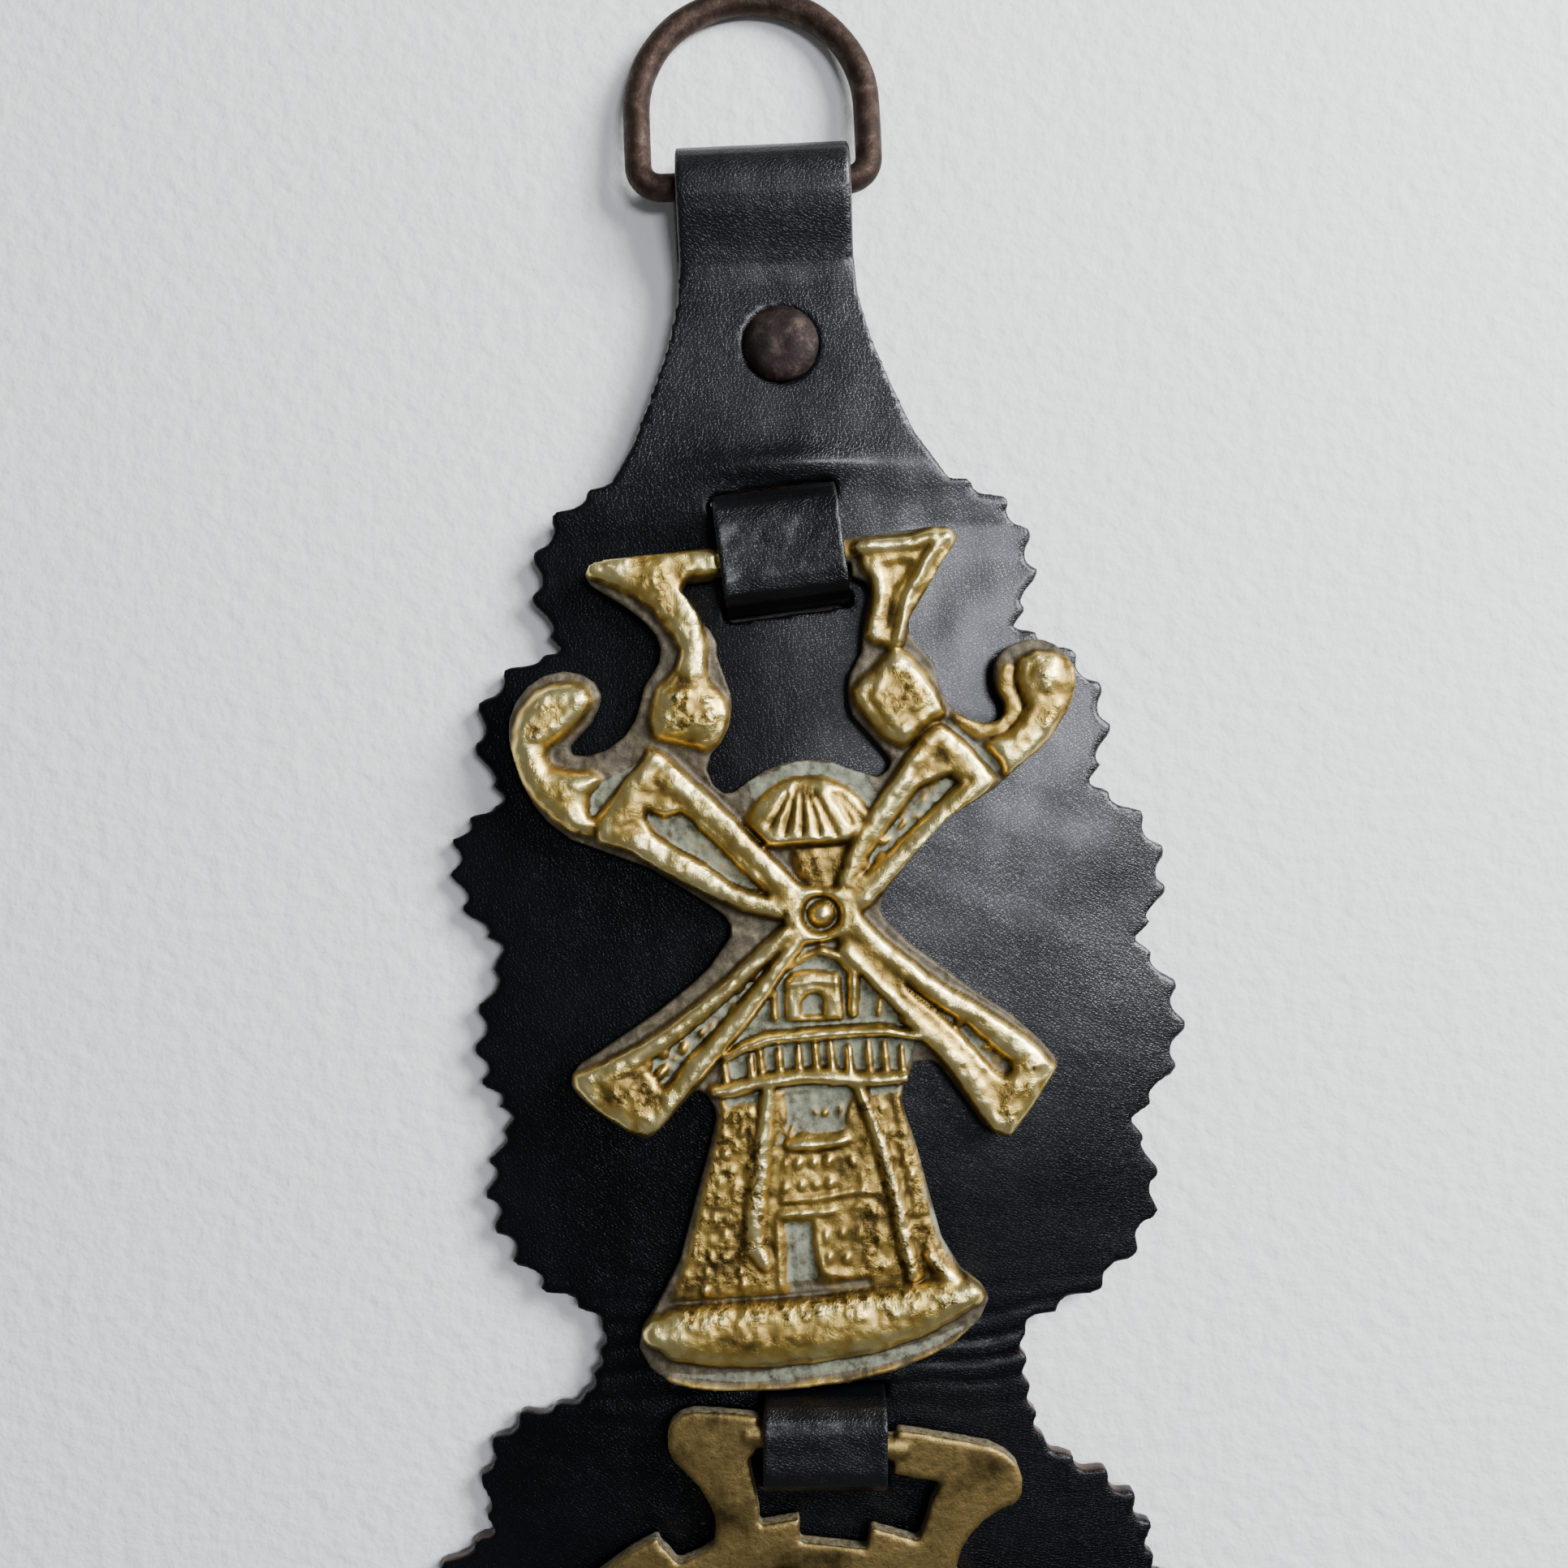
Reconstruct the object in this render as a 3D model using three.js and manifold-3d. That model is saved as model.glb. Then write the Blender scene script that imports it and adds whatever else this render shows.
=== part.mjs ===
// A horse brass hanger: a black leather strap with a ring at its top, that carries a cast windmill
// brass on one leather loop and a flat pierced brass on another. It lies on its back: +Z is up,
// +Y runs along the strap towards the ring, and sizes are in millimetres.
import * as THREE from "three";
import { mergeVertices } from "three/addons/utils/BufferGeometryUtils.js";
import Module from "manifold-3d";

const wasm = await Module();
wasm.setup();

// ---- Driving dimensions ---------------------------------------------------------------------

const leather = 2.6; // thickness of the strap's leather
const loopLeather = 1.5; // thickness of the two loops
const gap = 0.3; // clearance between neighbouring pieces
const crown = 2.0; // how far the middle of the strap is bowed up off the table
const crownHalfWidth = 50;
const crownMiddle = 1; // the bow's middle, a little right of the strap's middle line

const ringWire = 3.5; // diameter of the ring's wire
const ringWidth = 32.5; // outside
const ringReach = 26.2; // from the straight bar's middle to the outside of the round end
const ringBarY = 93.8;
const ringSide = -1.5; // the ring sits to the left in its fold
const ringCorner = 3; // bend radius at the ends of the straight bar

const foldHalfWidth = 10.8;
const foldMiddle = -0.4;
const tailMiddle = -0.7; // the folded-back end lies a little askew and shows at the left
const tailEnd = 64.5; // end of the leather that is folded back behind the strap
const foldLift = leather + gap; // height of the strap's back where it lies on that tail
const liftStart = 62; // the strap comes down from the tail to the table between these
const liftEnd = 46;
const endDomeStart = -105; // from here the bow runs out towards the strap's round end
const endDomeLength = 50;
const slabTop = 76; // above this the front layer of the fold has a profile of its own
const slabEnd = -166; // past the strap's round end

const foldSpan = 13; // length over which the front leather comes up round the ring's bar

const rivetAt = new THREE.Vector2(1, 73.4);
const rivetHead = 4.75; // radius
const rivetShank = 1.6; // radius
const rivetBurr = 3.2; // radius of the small flat end at the back

const barRadius = 1.7; // a brass's hanging bar, where it is round inside its loop
const windmillPlate = 2.4; // thickness of the windmill's flange plate
const lowerPlate = 2.6;
const relief = 1.7; // height of the windmill's main carving over its plate

const degree = Math.PI / 180;
const upperLoop = { x: -0.1, y: 47.7, turn: 5.5 * degree, width: 15.4, length: 15.4 };
const lowerLoop = { x: 0.8, y: -63.2, turn: -2.3 * degree, width: 15.2, length: 12.6 };
const windmillHinge = { x: -0.1, y: 46.55, z: 7.0, turn: 3.5 * degree, droop: 0.5 * degree };
const lowerHinge = { x: 0.9, y: -62.7, z: 7.5, turn: -7.7 * degree, droop: 0.9 * degree };

// ---- Materials ------------------------------------------------------------------------------

const blackLeather = new THREE.MeshStandardMaterial({ color: 0x1b1d20, roughness: 0.55 });
const rustySteel = new THREE.MeshStandardMaterial({ color: 0x4a3a32, roughness: 0.5, metalness: 0.8 });
const castBrass = new THREE.MeshStandardMaterial({ color: 0xb8924a, roughness: 0.3, metalness: 1 });
const dullBrass = new THREE.MeshStandardMaterial({ color: 0x97794a, roughness: 0.45, metalness: 1 });

// ---- Solids ---------------------------------------------------------------------------------

// A closed geometry as a solid that can be joined and cut.
function solid(geometry) {
  geometry.deleteAttribute("normal");
  geometry.deleteAttribute("uv");
  const merged = mergeVertices(geometry, 1e-4);
  const mesh = new wasm.Mesh({
    numProp: 3,
    vertProperties: merged.attributes.position.array,
    triVerts: new Uint32Array(merged.index.array),
  });
  return new wasm.Manifold(mesh);
}

function join(solids) {
  return solids.reduce((whole, next) => whole.add(next));
}

function geometryOf(body) {
  const { vertProperties, triVerts } = body.getMesh();
  const geometry = new THREE.BufferGeometry();
  geometry.setAttribute("position", new THREE.BufferAttribute(vertProperties, 3));
  geometry.setIndex(new THREE.BufferAttribute(triVerts, 1));
  return geometry;
}

function box(x0, x1, y0, y1, z0, z1) {
  const geometry = new THREE.BoxGeometry(x1 - x0, y1 - y0, z1 - z0);
  return solid(geometry.translate((x0 + x1) / 2, (y0 + y1) / 2, (z0 + z1) / 2));
}

// A flat shape raised from z0 to z1, its edges broken by a bevel that stays inside the outline.
function plate(shape, z0, z1, bevel = 0, curveSegments = 8) {
  const geometry = new THREE.ExtrudeGeometry(shape, {
    depth: z1 - z0 - 2 * bevel,
    bevelEnabled: bevel > 0,
    bevelThickness: bevel,
    bevelSize: bevel,
    bevelOffset: -bevel,
    bevelSegments: 1,
    curveSegments,
  });
  return solid(geometry.translate(0, 0, z0 + bevel));
}

// A profile drawn in Y and Z, carried along X from x0 to x1.
function alongX(profile, x0, x1, curveSegments = 8) {
  const geometry = new THREE.ExtrudeGeometry(profile, {
    depth: x1 - x0,
    bevelEnabled: false,
    curveSegments,
  });
  const yzx = new THREE.Matrix4().makeBasis(
    new THREE.Vector3(0, 1, 0),
    new THREE.Vector3(0, 0, 1),
    new THREE.Vector3(1, 0, 0),
  );
  return solid(geometry.applyMatrix4(yzx).translate(x0, 0, 0));
}

// A round rod along X.
function rod(x0, x1, y, z, radius) {
  const geometry = new THREE.CylinderGeometry(radius, radius, x1 - x0, 14);
  return solid(geometry.rotateZ(Math.PI / 2).translate((x0 + x1) / 2, y, z));
}

// A turned piece standing on z = 0 at x, y.
function turned(profile, x, y, segments = 16) {
  const points = profile.map(([radius, height]) => new THREE.Vector2(radius, height));
  const geometry = new THREE.LatheGeometry(points, segments);
  return solid(geometry.rotateX(Math.PI / 2).translate(x, y, 0));
}

function polygon(points) {
  return new THREE.Shape(points.map(([x, y]) => new THREE.Vector2(x, y)));
}

function disc(x, y, rx, ry = rx, turn = 0) {
  return new THREE.Shape().absellipse(x, y, rx, ry, 0, 2 * Math.PI, false, turn);
}

// A band with a smooth middle line through the given stations [x, y, half width] and blunt ends.
function band(stations, steps = 10) {
  const line = new THREE.SplineCurve(stations.map(([x, y]) => new THREE.Vector2(x, y)));
  const width = new THREE.SplineCurve(stations.map(([, , half]) => new THREE.Vector2(half, 0)));
  const samples = Array.from({ length: steps + 1 }, (_, i) => {
    const along = line.getTangent(i / steps);
    return {
      at: line.getPoint(i / steps),
      across: new THREE.Vector2(-along.y, along.x),
      half: width.getPoint(i / steps).x,
    };
  });
  // Inside a tight bend the edge would fold over itself, so points that fall in the band are dropped.
  const clear = (point) => samples.every(({ at, half }) => point.distanceTo(at) > half * 0.93);
  const edge = (side) =>
    samples.map(({ at, across, half }) => at.clone().addScaledVector(across, side * half)).filter(clear);
  return new THREE.Shape([...edge(-1), ...edge(1).reverse()]);
}

// ---- Strap: one piece of leather, cut to two scalloped and pinked lobes ---------------------

const toothDepth = 1.7;
const toothFlat = 0.2; // blunt end of a tooth, as a share of its pitch
const scoop = [0.34, 0.62]; // where the hollow between two teeth is given a point

// The scallops of each side, from the top of the upper lobe down: where each one starts, how far it
// swells out as a share of its width, its teeth, and how far its middle leans along the edge.
const leftScallops = [
  { x: -21.1, y: 56.9, rise: 0.34, teeth: 5, lean: 0 },
  { x: -27.4, y: 35.8, rise: 0.43, teeth: 5, lean: 0 },
  { x: -35.2, y: 17.5, rise: 0.43, teeth: 6, lean: -0.09 },
  { x: -36.9, y: -0.5, rise: 0.22, teeth: 5, lean: 0.1 },
  { x: -36.6, y: -22.1, rise: 0.3, teeth: 7, lean: -0.05 },
  { x: -26.8, y: -47.4, rise: -0.08, teeth: 4, lean: 0 },
  { x: -30.1, y: -58.7, rise: 0.36, teeth: 5, lean: 0 },
  { x: -40.9, y: -74.8, rise: 0.34, teeth: 5, lean: 0 },
  { x: -46.9, y: -96.3, rise: 0.32, teeth: 5, lean: 0 },
  { x: -44.9, y: -119.2, rise: 0.33, teeth: 5, lean: 0 },
  { x: -33.6, y: -140.6, rise: 0.34, teeth: 5, lean: 0 },
];
const rightScallops = [
  { x: 21.3, y: 56, rise: 0.35, teeth: 5, lean: 0 },
  { x: 28.4, y: 36.9, rise: 0.34, teeth: 5, lean: 0.03 },
  { x: 37.1, y: 16.8, rise: 0.36, teeth: 5, lean: 0.03 },
  { x: 42.3, y: -2.9, rise: 0.31, teeth: 5, lean: -0.02 },
  { x: 41, y: -25.6, rise: 0.32, teeth: 6, lean: -0.08 },
  { x: 26.9, y: -49.9, rise: -0.06, teeth: 5, lean: 0 },
  { x: 29.2, y: -66.9, rise: 0.24, teeth: 5, lean: 0.05 },
  { x: 41.3, y: -83, rise: 0.34, teeth: 5, lean: 0 },
  { x: 47.4, y: -102.9, rise: 0.32, teeth: 5, lean: 0 },
  { x: 44.4, y: -122.7, rise: 0.33, teeth: 5, lean: 0 },
  { x: 33.2, y: -141.1, rise: 0.34, teeth: 5, lean: 0 },
];
const endScallop = { half: 13.3, y: -153, rise: 0.28, teeth: 6 }; // the round end's own scallop

// The pinked edge of one scallop, an arc from its start to the next one's, as points.
function scallop({ x, y, rise, teeth, lean = 0 }, to, outward) {
  const from = new THREE.Vector2(x, y);
  const chord = new THREE.Vector2(to.x, to.y).sub(from);
  const out = new THREE.Vector2(chord.y, -chord.x).normalize().multiplyScalar(outward * Math.sign(rise));
  const swell = Math.abs(rise) * chord.length();
  const radius = (chord.length() ** 2 / 4 + swell ** 2) / (2 * swell);
  const halfAngle = Math.asin(chord.length() / 2 / radius);
  const depth = rise > 0 ? toothDepth : toothDepth / 2; // a drawn in scallop is ragged, not pinked
  const point = (share, dip) => {
    const angle = halfAngle * (2 * share - 1);
    const across = radius * Math.cos(angle) - (radius - swell);
    const t = 0.5 + (radius * Math.sin(angle)) / chord.length();
    const leant = t + 4 * lean * t * (1 - t);
    return from.clone().addScaledVector(chord, leant).addScaledVector(out, across - dip * Math.sign(rise));
  };
  const points = [from];
  for (let i = 0; i < teeth; i++) {
    points.push(point((i + 0.5 - toothFlat / 2) / teeth, 0));
    points.push(point((i + 0.5 + toothFlat / 2) / teeth, 0.1 * depth));
    if (i < teeth - 1) {
      scoop.forEach((s) => points.push(point((i + 0.5 + s) / teeth, depth * Math.sin(Math.PI * s))));
    }
  }
  return points;
}

function pinkedSide(scallops, outward, end) {
  return scallops.flatMap((one, i) => scallop(one, scallops[i + 1] ?? end, outward));
}

function strapOutline() {
  const flare = [[10.9, 84], [11.3, 79.5], [12.7, 74], [14.8, 68.5], [17.6, 62]];
  const top = ringBarY + 6;
  const leftEnd = { ...endScallop, x: -endScallop.half };
  const rightEnd = { ...endScallop, x: endScallop.half };
  return new THREE.Shape([
    new THREE.Vector2(foldMiddle - foldHalfWidth, top),
    ...flare.map(([x, y]) => new THREE.Vector2(foldMiddle - x, y)),
    ...pinkedSide(leftScallops, 1, leftEnd),
    ...scallop(leftEnd, rightEnd, 1),
    new THREE.Vector2(rightEnd.x, rightEnd.y),
    ...pinkedSide(rightScallops, -1, rightEnd).reverse(),
    ...flare.reverse().map(([x, y]) => new THREE.Vector2(foldMiddle + x, y)),
    new THREE.Vector2(foldMiddle + foldHalfWidth, top),
  ]);
}

// Height of the strap's back over the table.
function strapBack(x, y) {
  const lift = THREE.MathUtils.smootherstep(y, liftEnd, liftStart);
  const bow = Math.max(0, 1 - ((x - crownMiddle) / crownHalfWidth) ** 2);
  const runOut = Math.max(0, 1 - (Math.max(0, endDomeStart - y) / endDomeLength) ** 2);
  return foldLift * lift + crown * (1 - lift) * bow * runOut;
}

// The bowed leather, before its outline is cut: a slab whose rows stand where the bow changes.
function bowedSlab() {
  const rows = [slabTop, liftStart, 58, 54, 50, liftEnd, endDomeStart, -120, -132, -144, slabEnd];
  const columns = 10;
  const halfWidth = 58;
  const geometry = new THREE.BoxGeometry(1, 1, leather, columns, rows.length - 1, 1);
  const place = geometry.attributes.position;
  for (let i = 0; i < place.count; i++) {
    const x = 2 * halfWidth * place.getX(i) + crownMiddle;
    const row = Math.round((0.5 - place.getY(i)) * (rows.length - 1));
    const y = rows[row];
    place.setXYZ(i, x, y, place.getZ(i) + leather / 2 + strapBack(x, y));
  }
  return solid(geometry);
}

// The front layer of the fold, seen from the side: it comes up round the ring's bar.
function foldFront() {
  const z = foldLift + ringWire / 2; // middle of the ring's bar
  const inner = ringWire / 2 + gap;
  const outer = inner + leather;
  const profile = new THREE.Shape();
  profile.moveTo(ringBarY, z - outer);
  profile.absarc(ringBarY, z, outer, -Math.PI / 2, Math.PI / 2, false);
  const flat = ringBarY - foldSpan;
  const lap = slabTop - 11; // it laps the bowed slab below
  const top = foldLift + leather;
  profile.bezierCurveTo(ringBarY - 5, z + outer, flat + 5.5, top, flat, top);
  profile.lineTo(lap, top);
  profile.lineTo(lap, foldLift);
  profile.lineTo(flat, foldLift);
  profile.bezierCurveTo(flat + 5, foldLift, ringBarY - 4, z + inner, ringBarY, z + inner);
  profile.absarc(ringBarY, z, inner, Math.PI / 2, -Math.PI / 2, true);
  profile.closePath();
  return profile;
}

function foldTail() {
  const left = tailMiddle - foldHalfWidth - 0.4;
  const right = tailMiddle + foldHalfWidth + 0.4;
  const round = 5;
  const tail = new THREE.Shape();
  tail.moveTo(left, ringBarY + 0.5);
  tail.lineTo(left, tailEnd + round);
  tail.quadraticCurveTo(left, tailEnd, left + round, tailEnd);
  tail.lineTo(right - round, tailEnd);
  tail.quadraticCurveTo(right, tailEnd, right, tailEnd + round);
  tail.lineTo(right, ringBarY + 0.5);
  return tail;
}

// The two slots that a loop's ends go down through.
function loopSlots(loop) {
  const reach = loop.length / 2 - loopLeather / 2;
  const half = loopLeather / 2 + gap;
  const slots = [-reach, reach].map((y) =>
    box(-loop.width / 2 - gap, loop.width / 2 + gap, y - half, y + half, -1, 12),
  );
  return join(slots).rotate([0, 0, loop.turn / degree]).translate([loop.x, loop.y, 0]);
}

// A round hole at the rivet, with the clearance round it.
function rivetHole(radius, z0, z1, segments) {
  const wide = radius + gap;
  return turned([[0, z0], [wide, z0], [wide, z1], [0, z1]], rivetAt.x, rivetAt.y, segments);
}

function strap() {
  const over = 20; // above everything
  const under = -1;
  const outline = plate(strapOutline(), under, over);
  const front = alongX(foldFront(), -40, 40, 6).intersect(outline);
  const tail = plate(foldTail(), 0, leather, 0, 4);
  const headSeat = rivetHole(rivetHead, foldLift + leather - 0.4, over, 16);
  const shankHole = rivetHole(rivetShank, under, over, 12);
  const burrSeat = rivetHole(rivetBurr, under, 1.1, 12);
  return join([bowedSlab().intersect(outline), front, tail])
    .subtract(join([headSeat, shankHole, burrSeat, loopSlots(upperLoop), loopSlots(lowerLoop)]));
}

// ---- Rivet ----------------------------------------------------------------------------------

function rivet() {
  const seat = foldLift + leather - 0.1;
  const rise = 2.1;
  return turned([
    [0, 0.05], [rivetBurr, 0.05], [rivetBurr, 0.8], [rivetShank, 0.8], [rivetShank, seat],
    [rivetHead, seat], [rivetHead, seat + 0.5], [rivetHead * 0.86, seat + rise * 0.62],
    [rivetHead * 0.55, seat + rise * 0.9], [0, seat + rise],
  ], rivetAt.x, rivetAt.y);
}

// ---- Ring: a wire bent to a D, its straight bar in the fold ---------------------------------

function ring() {
  const halfWidth = (ringWidth - ringWire) / 2;
  const bar = halfWidth - ringCorner; // half length of the straight bar
  const roundY = ringReach - ringWire / 2 - halfWidth; // middle of the round end
  const points = [-bar, -bar / 3, bar / 3, bar].map((x) => new THREE.Vector3(x, 0, 0));
  const bend = ringCorner * Math.SQRT1_2; // half way round a corner of the ring
  points.push(new THREE.Vector3(bar + bend, ringCorner - bend, 0));
  for (let a = 0; a <= 180; a += 20) {
    const y = roundY + halfWidth * Math.sin(a * degree);
    points.push(new THREE.Vector3(halfWidth * Math.cos(a * degree), y, 0));
  }
  points.push(new THREE.Vector3(-bar - bend, ringCorner - bend, 0));
  const path = new THREE.CatmullRomCurve3(points, true, "centripetal");
  return solid(new THREE.TubeGeometry(path, 40, ringWire / 2, 8, true));
}

// ---- Loops: a closed band of leather through two slots of the strap -------------------------

function loop({ width, length }, barZ) {
  const half = length / 2;
  const shoulder = 4.8;
  const top = barZ + barRadius + 0.4 + loopLeather;
  const arch = (shape, inset) => {
    const edge = half - inset;
    const crest = half - 4 - inset * 0.5;
    shape.moveTo(-edge, inset);
    shape.lineTo(edge, inset);
    shape.lineTo(edge, shoulder);
    shape.quadraticCurveTo(edge - 0.4, top - inset, crest, top - inset);
    shape.lineTo(-crest, top - inset);
    shape.quadraticCurveTo(-edge + 0.4, top - inset, -edge, shoulder);
    shape.closePath();
    return shape;
  };
  const profile = arch(new THREE.Shape(), 0);
  profile.holes.push(arch(new THREE.Path(), loopLeather));
  return alongX(profile, -width / 2, width / 2, 4);
}

// ---- Windmill: one casting. Its own X and Y are measured from the hub of the sails ----------

const windmillAxis = [-2.3, 44.3]; // a point of the hanging bar, from the hub
const windmillTurn = 1.03 * degree; // how far the windmill leans on the strap
const barSlope = windmillHinge.turn - windmillTurn;
const plateTop = windmillPlate / 2;
const faceTop = plateTop + relief;
const lugTop = faceTop + 0.2;

// Each sail: which way it points, its reach from the hub and its half width at the outer end.
const sails = [
  { turn: 139.4, reach: 29.5, tip: 6.0 },
  { turn: 46, reach: 27.4, tip: 4.9 },
  { turn: 219.3, reach: 35.6, tip: 5.4 },
  { turn: -44.7, reach: 34.8, tip: 5.3 },
];
const sailRoot = 2.3; // half width where the sails meet
const railWidth = 2.1;

const turnZ = (body, degrees) => body.rotate([0, 0, degrees]);
const raised = (shape, top = faceTop, bevel = 0.6, steps = 6) => plate(shape, 0, top, bevel, steps);
const low = plateTop + 1; // top of the lower carving
const middling = plateTop + 1.5;

// The flange plate, whose edge follows the carving. It is drawn from the left end of the hanging bar
// round to its right end, then back under the bar to where it began.
const barLeft = windmillAxis[0] - 8.6;
const barRight = windmillAxis[0] + 8.6;
const horn = [[barLeft, 45.9], [-16.6, 45.5], [-23.9, 45.1], [-25.9, 44.5], [-26.6, 43.4]];
const leftLegOutside = [
  [-26, 42.2], [-22, 39.4], [-19.8, 37.5], [-18.3, 35.6], [-17.8, 33.9], [-18.1, 32.1], [-20.1, 29.3],
  [-20.7, 27.4], [-21.5, 25.2], [-22.9, 23.3],
];
const leftHookInside = [
  [-25.3, 21.7], [-27.7, 21.1], [-29.6, 21.4], [-30, 22.4], [-28.9, 23.5], [-27.1, 25.2], [-26, 27.1],
  [-25.6, 28.6], [-26.3, 30.2],
];
const leftHookOutside = [
  [-27.8, 31.3], [-30, 31.8], [-32.5, 31.3], [-34.5, 30.1], [-36.1, 28.3], [-37, 26.2], [-37.2, 23.8],
  [-36.7, 21.3], [-35.9, 18.4], [-34.6, 15.5], [-32.9, 13.2], [-30.2, 10.9], [-28, 10],
];
const leftArmpit = [[-20.8, 6.9], [-15.6, 3.3], [-12, 0.6], [-11.2, -0.8], [-11.4, -2.3], [-14.3, -6]];
const lowerLeftSail = [
  [-16.6, -7.9], [-20.9, -11], [-28.5, -15.6], [-31, -17], [-31.9, -18.1], [-32.1, -19.4], [-31.4, -20.5],
  [-30, -22.1], [-26.7, -24.8], [-25, -25.9], [-23.3, -26.6], [-22.1, -26], [-18.1, -22], [-17.1, -21.1],
  [-16.4, -20.9], [-15.4, -21.6], [-14.6, -23],
];
const towerLeft = [[-14.4, -24.5], [-15.4, -28], [-17.9, -35.5], [-20, -42], [-22.8, -46.8], [-25.2, -50.2]];
const footEdge = [
  [-25.6, -52.4], [-24.4, -55], [-21.6, -57.3], [-17, -58.2], [-8, -58.7], [0, -58.2], [7, -56.8],
  [13, -54.2], [16.8, -51.2], [18, -48.8], [17.2, -47.2],
];
const towerRight = [[14.8, -45.2], [12.6, -41], [11.2, -34.5], [10.1, -29.2], [9.1, -25.7], [8.6, -23.4]];
const lowerRightSail = [
  [9, -21.8], [9.8, -20.1], [10.6, -19], [12.6, -18.9], [13.6, -19.5], [16.8, -24.4], [18.6, -27.3],
  [19.8, -28.3], [20.9, -28.9], [22, -28.5], [23.2, -27.2], [26.5, -22.8], [27.8, -21.1], [28.2, -20.2],
  [27.8, -19.2], [25.9, -16.9], [22.9, -13.9], [18.7, -10.9], [10.8, -4.3],
];
const rightArmpit = [
  [9, -2.4], [7.7, -1.1], [7.4, 0], [7.6, 1.3], [8.3, 2.6], [13.1, 8], [16.4, 11], [22.4, 14.2],
];
const rightHookOutside = [
  [26.5, 17.6], [30.2, 20.9], [31.6, 22.9], [32.5, 24.9], [33, 26.9], [32.9, 28.4], [32.1, 30.1],
  [30.9, 31.5], [29.4, 32.2], [27.6, 32.4],
];
const rightHookInside = [
  [26, 32], [24.7, 31.5], [23.8, 30.5], [23.2, 29.3], [23.1, 27.7], [23.4, 26.2], [24.2, 24.6], [24.2, 23.4],
  [23.4, 22.6], [21.9, 22.3], [20.1, 22.7], [18.4, 23.7],
];
const rightLegOutside = [
  [17.2, 25], [16.3, 27.1], [16.1, 28.7], [15.8, 30.2], [14, 32.4], [13.1, 33.7], [12.9, 35], [13.1, 36.2],
  [17.2, 42.1], [18.8, 44.1], [19.7, 45.6], [18.5, 46.8], [16.2, 46.9], [barRight, 46.1],
];
const rightLegInside = [
  [barRight, 41.4], [8, 40.6], [8.5, 39.6], [7.5, 35.8], [6.9, 32], [5.3, 29.3], [5, 27.8], [5, 25.7],
  [5.4, 24.2], [9.2, 19.4], [9.8, 18.3], [9.4, 17.3],
];
const domeEdge = [[8, 16.4], [4, 17.9], [2.3, 18.7], [0, 19.1], [-3.2, 18.9], [-5.9, 18.1], [-8.3, 16.7]];
const leftLegInside = [
  [-9.9, 15.6], [-11.1, 15.5], [-12.4, 16.6], [-13.1, 18.6], [-12.5, 20.5], [-11.1, 21.9], [-10, 23.8],
  [-9.5, 26.1], [-9.6, 28], [-11, 32.7], [-10.9, 34.2], [-11.6, 35.8], [-12.9, 37], [-14.3, 39.1],
  [-14.9, 41], [-14.2, 41.8], [barLeft, 41.9],
];

function flange() {
  const left = [horn, leftLegOutside, leftHookInside, leftHookOutside, leftArmpit, lowerLeftSail, towerLeft];
  const right = [footEdge, towerRight, lowerRightSail, rightArmpit, rightHookOutside, rightHookInside];
  const middle = [rightLegOutside, rightLegInside, domeEdge, leftLegInside];
  const edge = polygon([...left, ...right, ...middle].flat());
  const bar = turnZ(rod(-10, 10, 0, 0, barRadius), barSlope / degree);
  return plate(edge, -plateTop, plateTop).add(bar.translate([...windmillAxis, 0]));
}

// The hanger's carving: two bent legs under the bar, each on a swelling lug.
function hanger() {
  const leftBar = [[-24.6, 43.7, 0.9], [-20.4, 43.2, 2.0], [-14.7, 43.9, 1.6], [-11.8, 43.9, 1.5]];
  const leftLeg = [[-20, 42.3, 2.4], [-16, 38.6, 2.2], [-13.8, 34.8, 1.8], [-14.8, 31, 2], [-15, 27, 3.4]];
  const rightBar = [[7.4, 44.3, 1.5], [12, 44.5, 1.5], [17.2, 45.3, 1.1]];
  const rightLeg = [[17, 44.3, 1.4], [14, 40, 1.6], [11.7, 35.2, 1], [11.3, 31, 1.1]];
  const rightLug = [[8, 25.2], [11.3, 20.8], [14.8, 23.4], [15.6, 25.8], [14.9, 29.2], [12.2, 32.6],
    [10.9, 32.8], [8, 28.4]];
  return join([
    raised(band(leftBar, 7), low, 0.5),
    raised(band(leftLeg, 8), middling),
    raised(disc(-14.7, 24.6, 4.5, 4.8), lugTop, 0.9, 5),
    raised(band(rightBar, 4), low, 0.5),
    raised(band(rightLeg, 7), middling, 0.5),
    raised(polygon(rightLug), lugTop),
  ]);
}

function hooks() {
  const left = [
    [-27.4, 14.6, 3.4], [-30.6, 16.2, 3.6], [-33.6, 20.5, 2.5], [-33.8, 25.6, 2.6], [-31.4, 28.8, 1.9],
    [-28.4, 29, 1.4],
  ];
  const right = [[22.3, 18.1, 2.1], [26, 19.8, 2.2], [28.9, 22.9, 2.3], [29.6, 26.4, 2.4]];
  return join([
    raised(band(left, 10)),
    raised(band(right, 8), faceTop, 0.8),
    raised(disc(28.6, 27.8, 3.3), lugTop, 0.9),
  ]);
}

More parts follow.
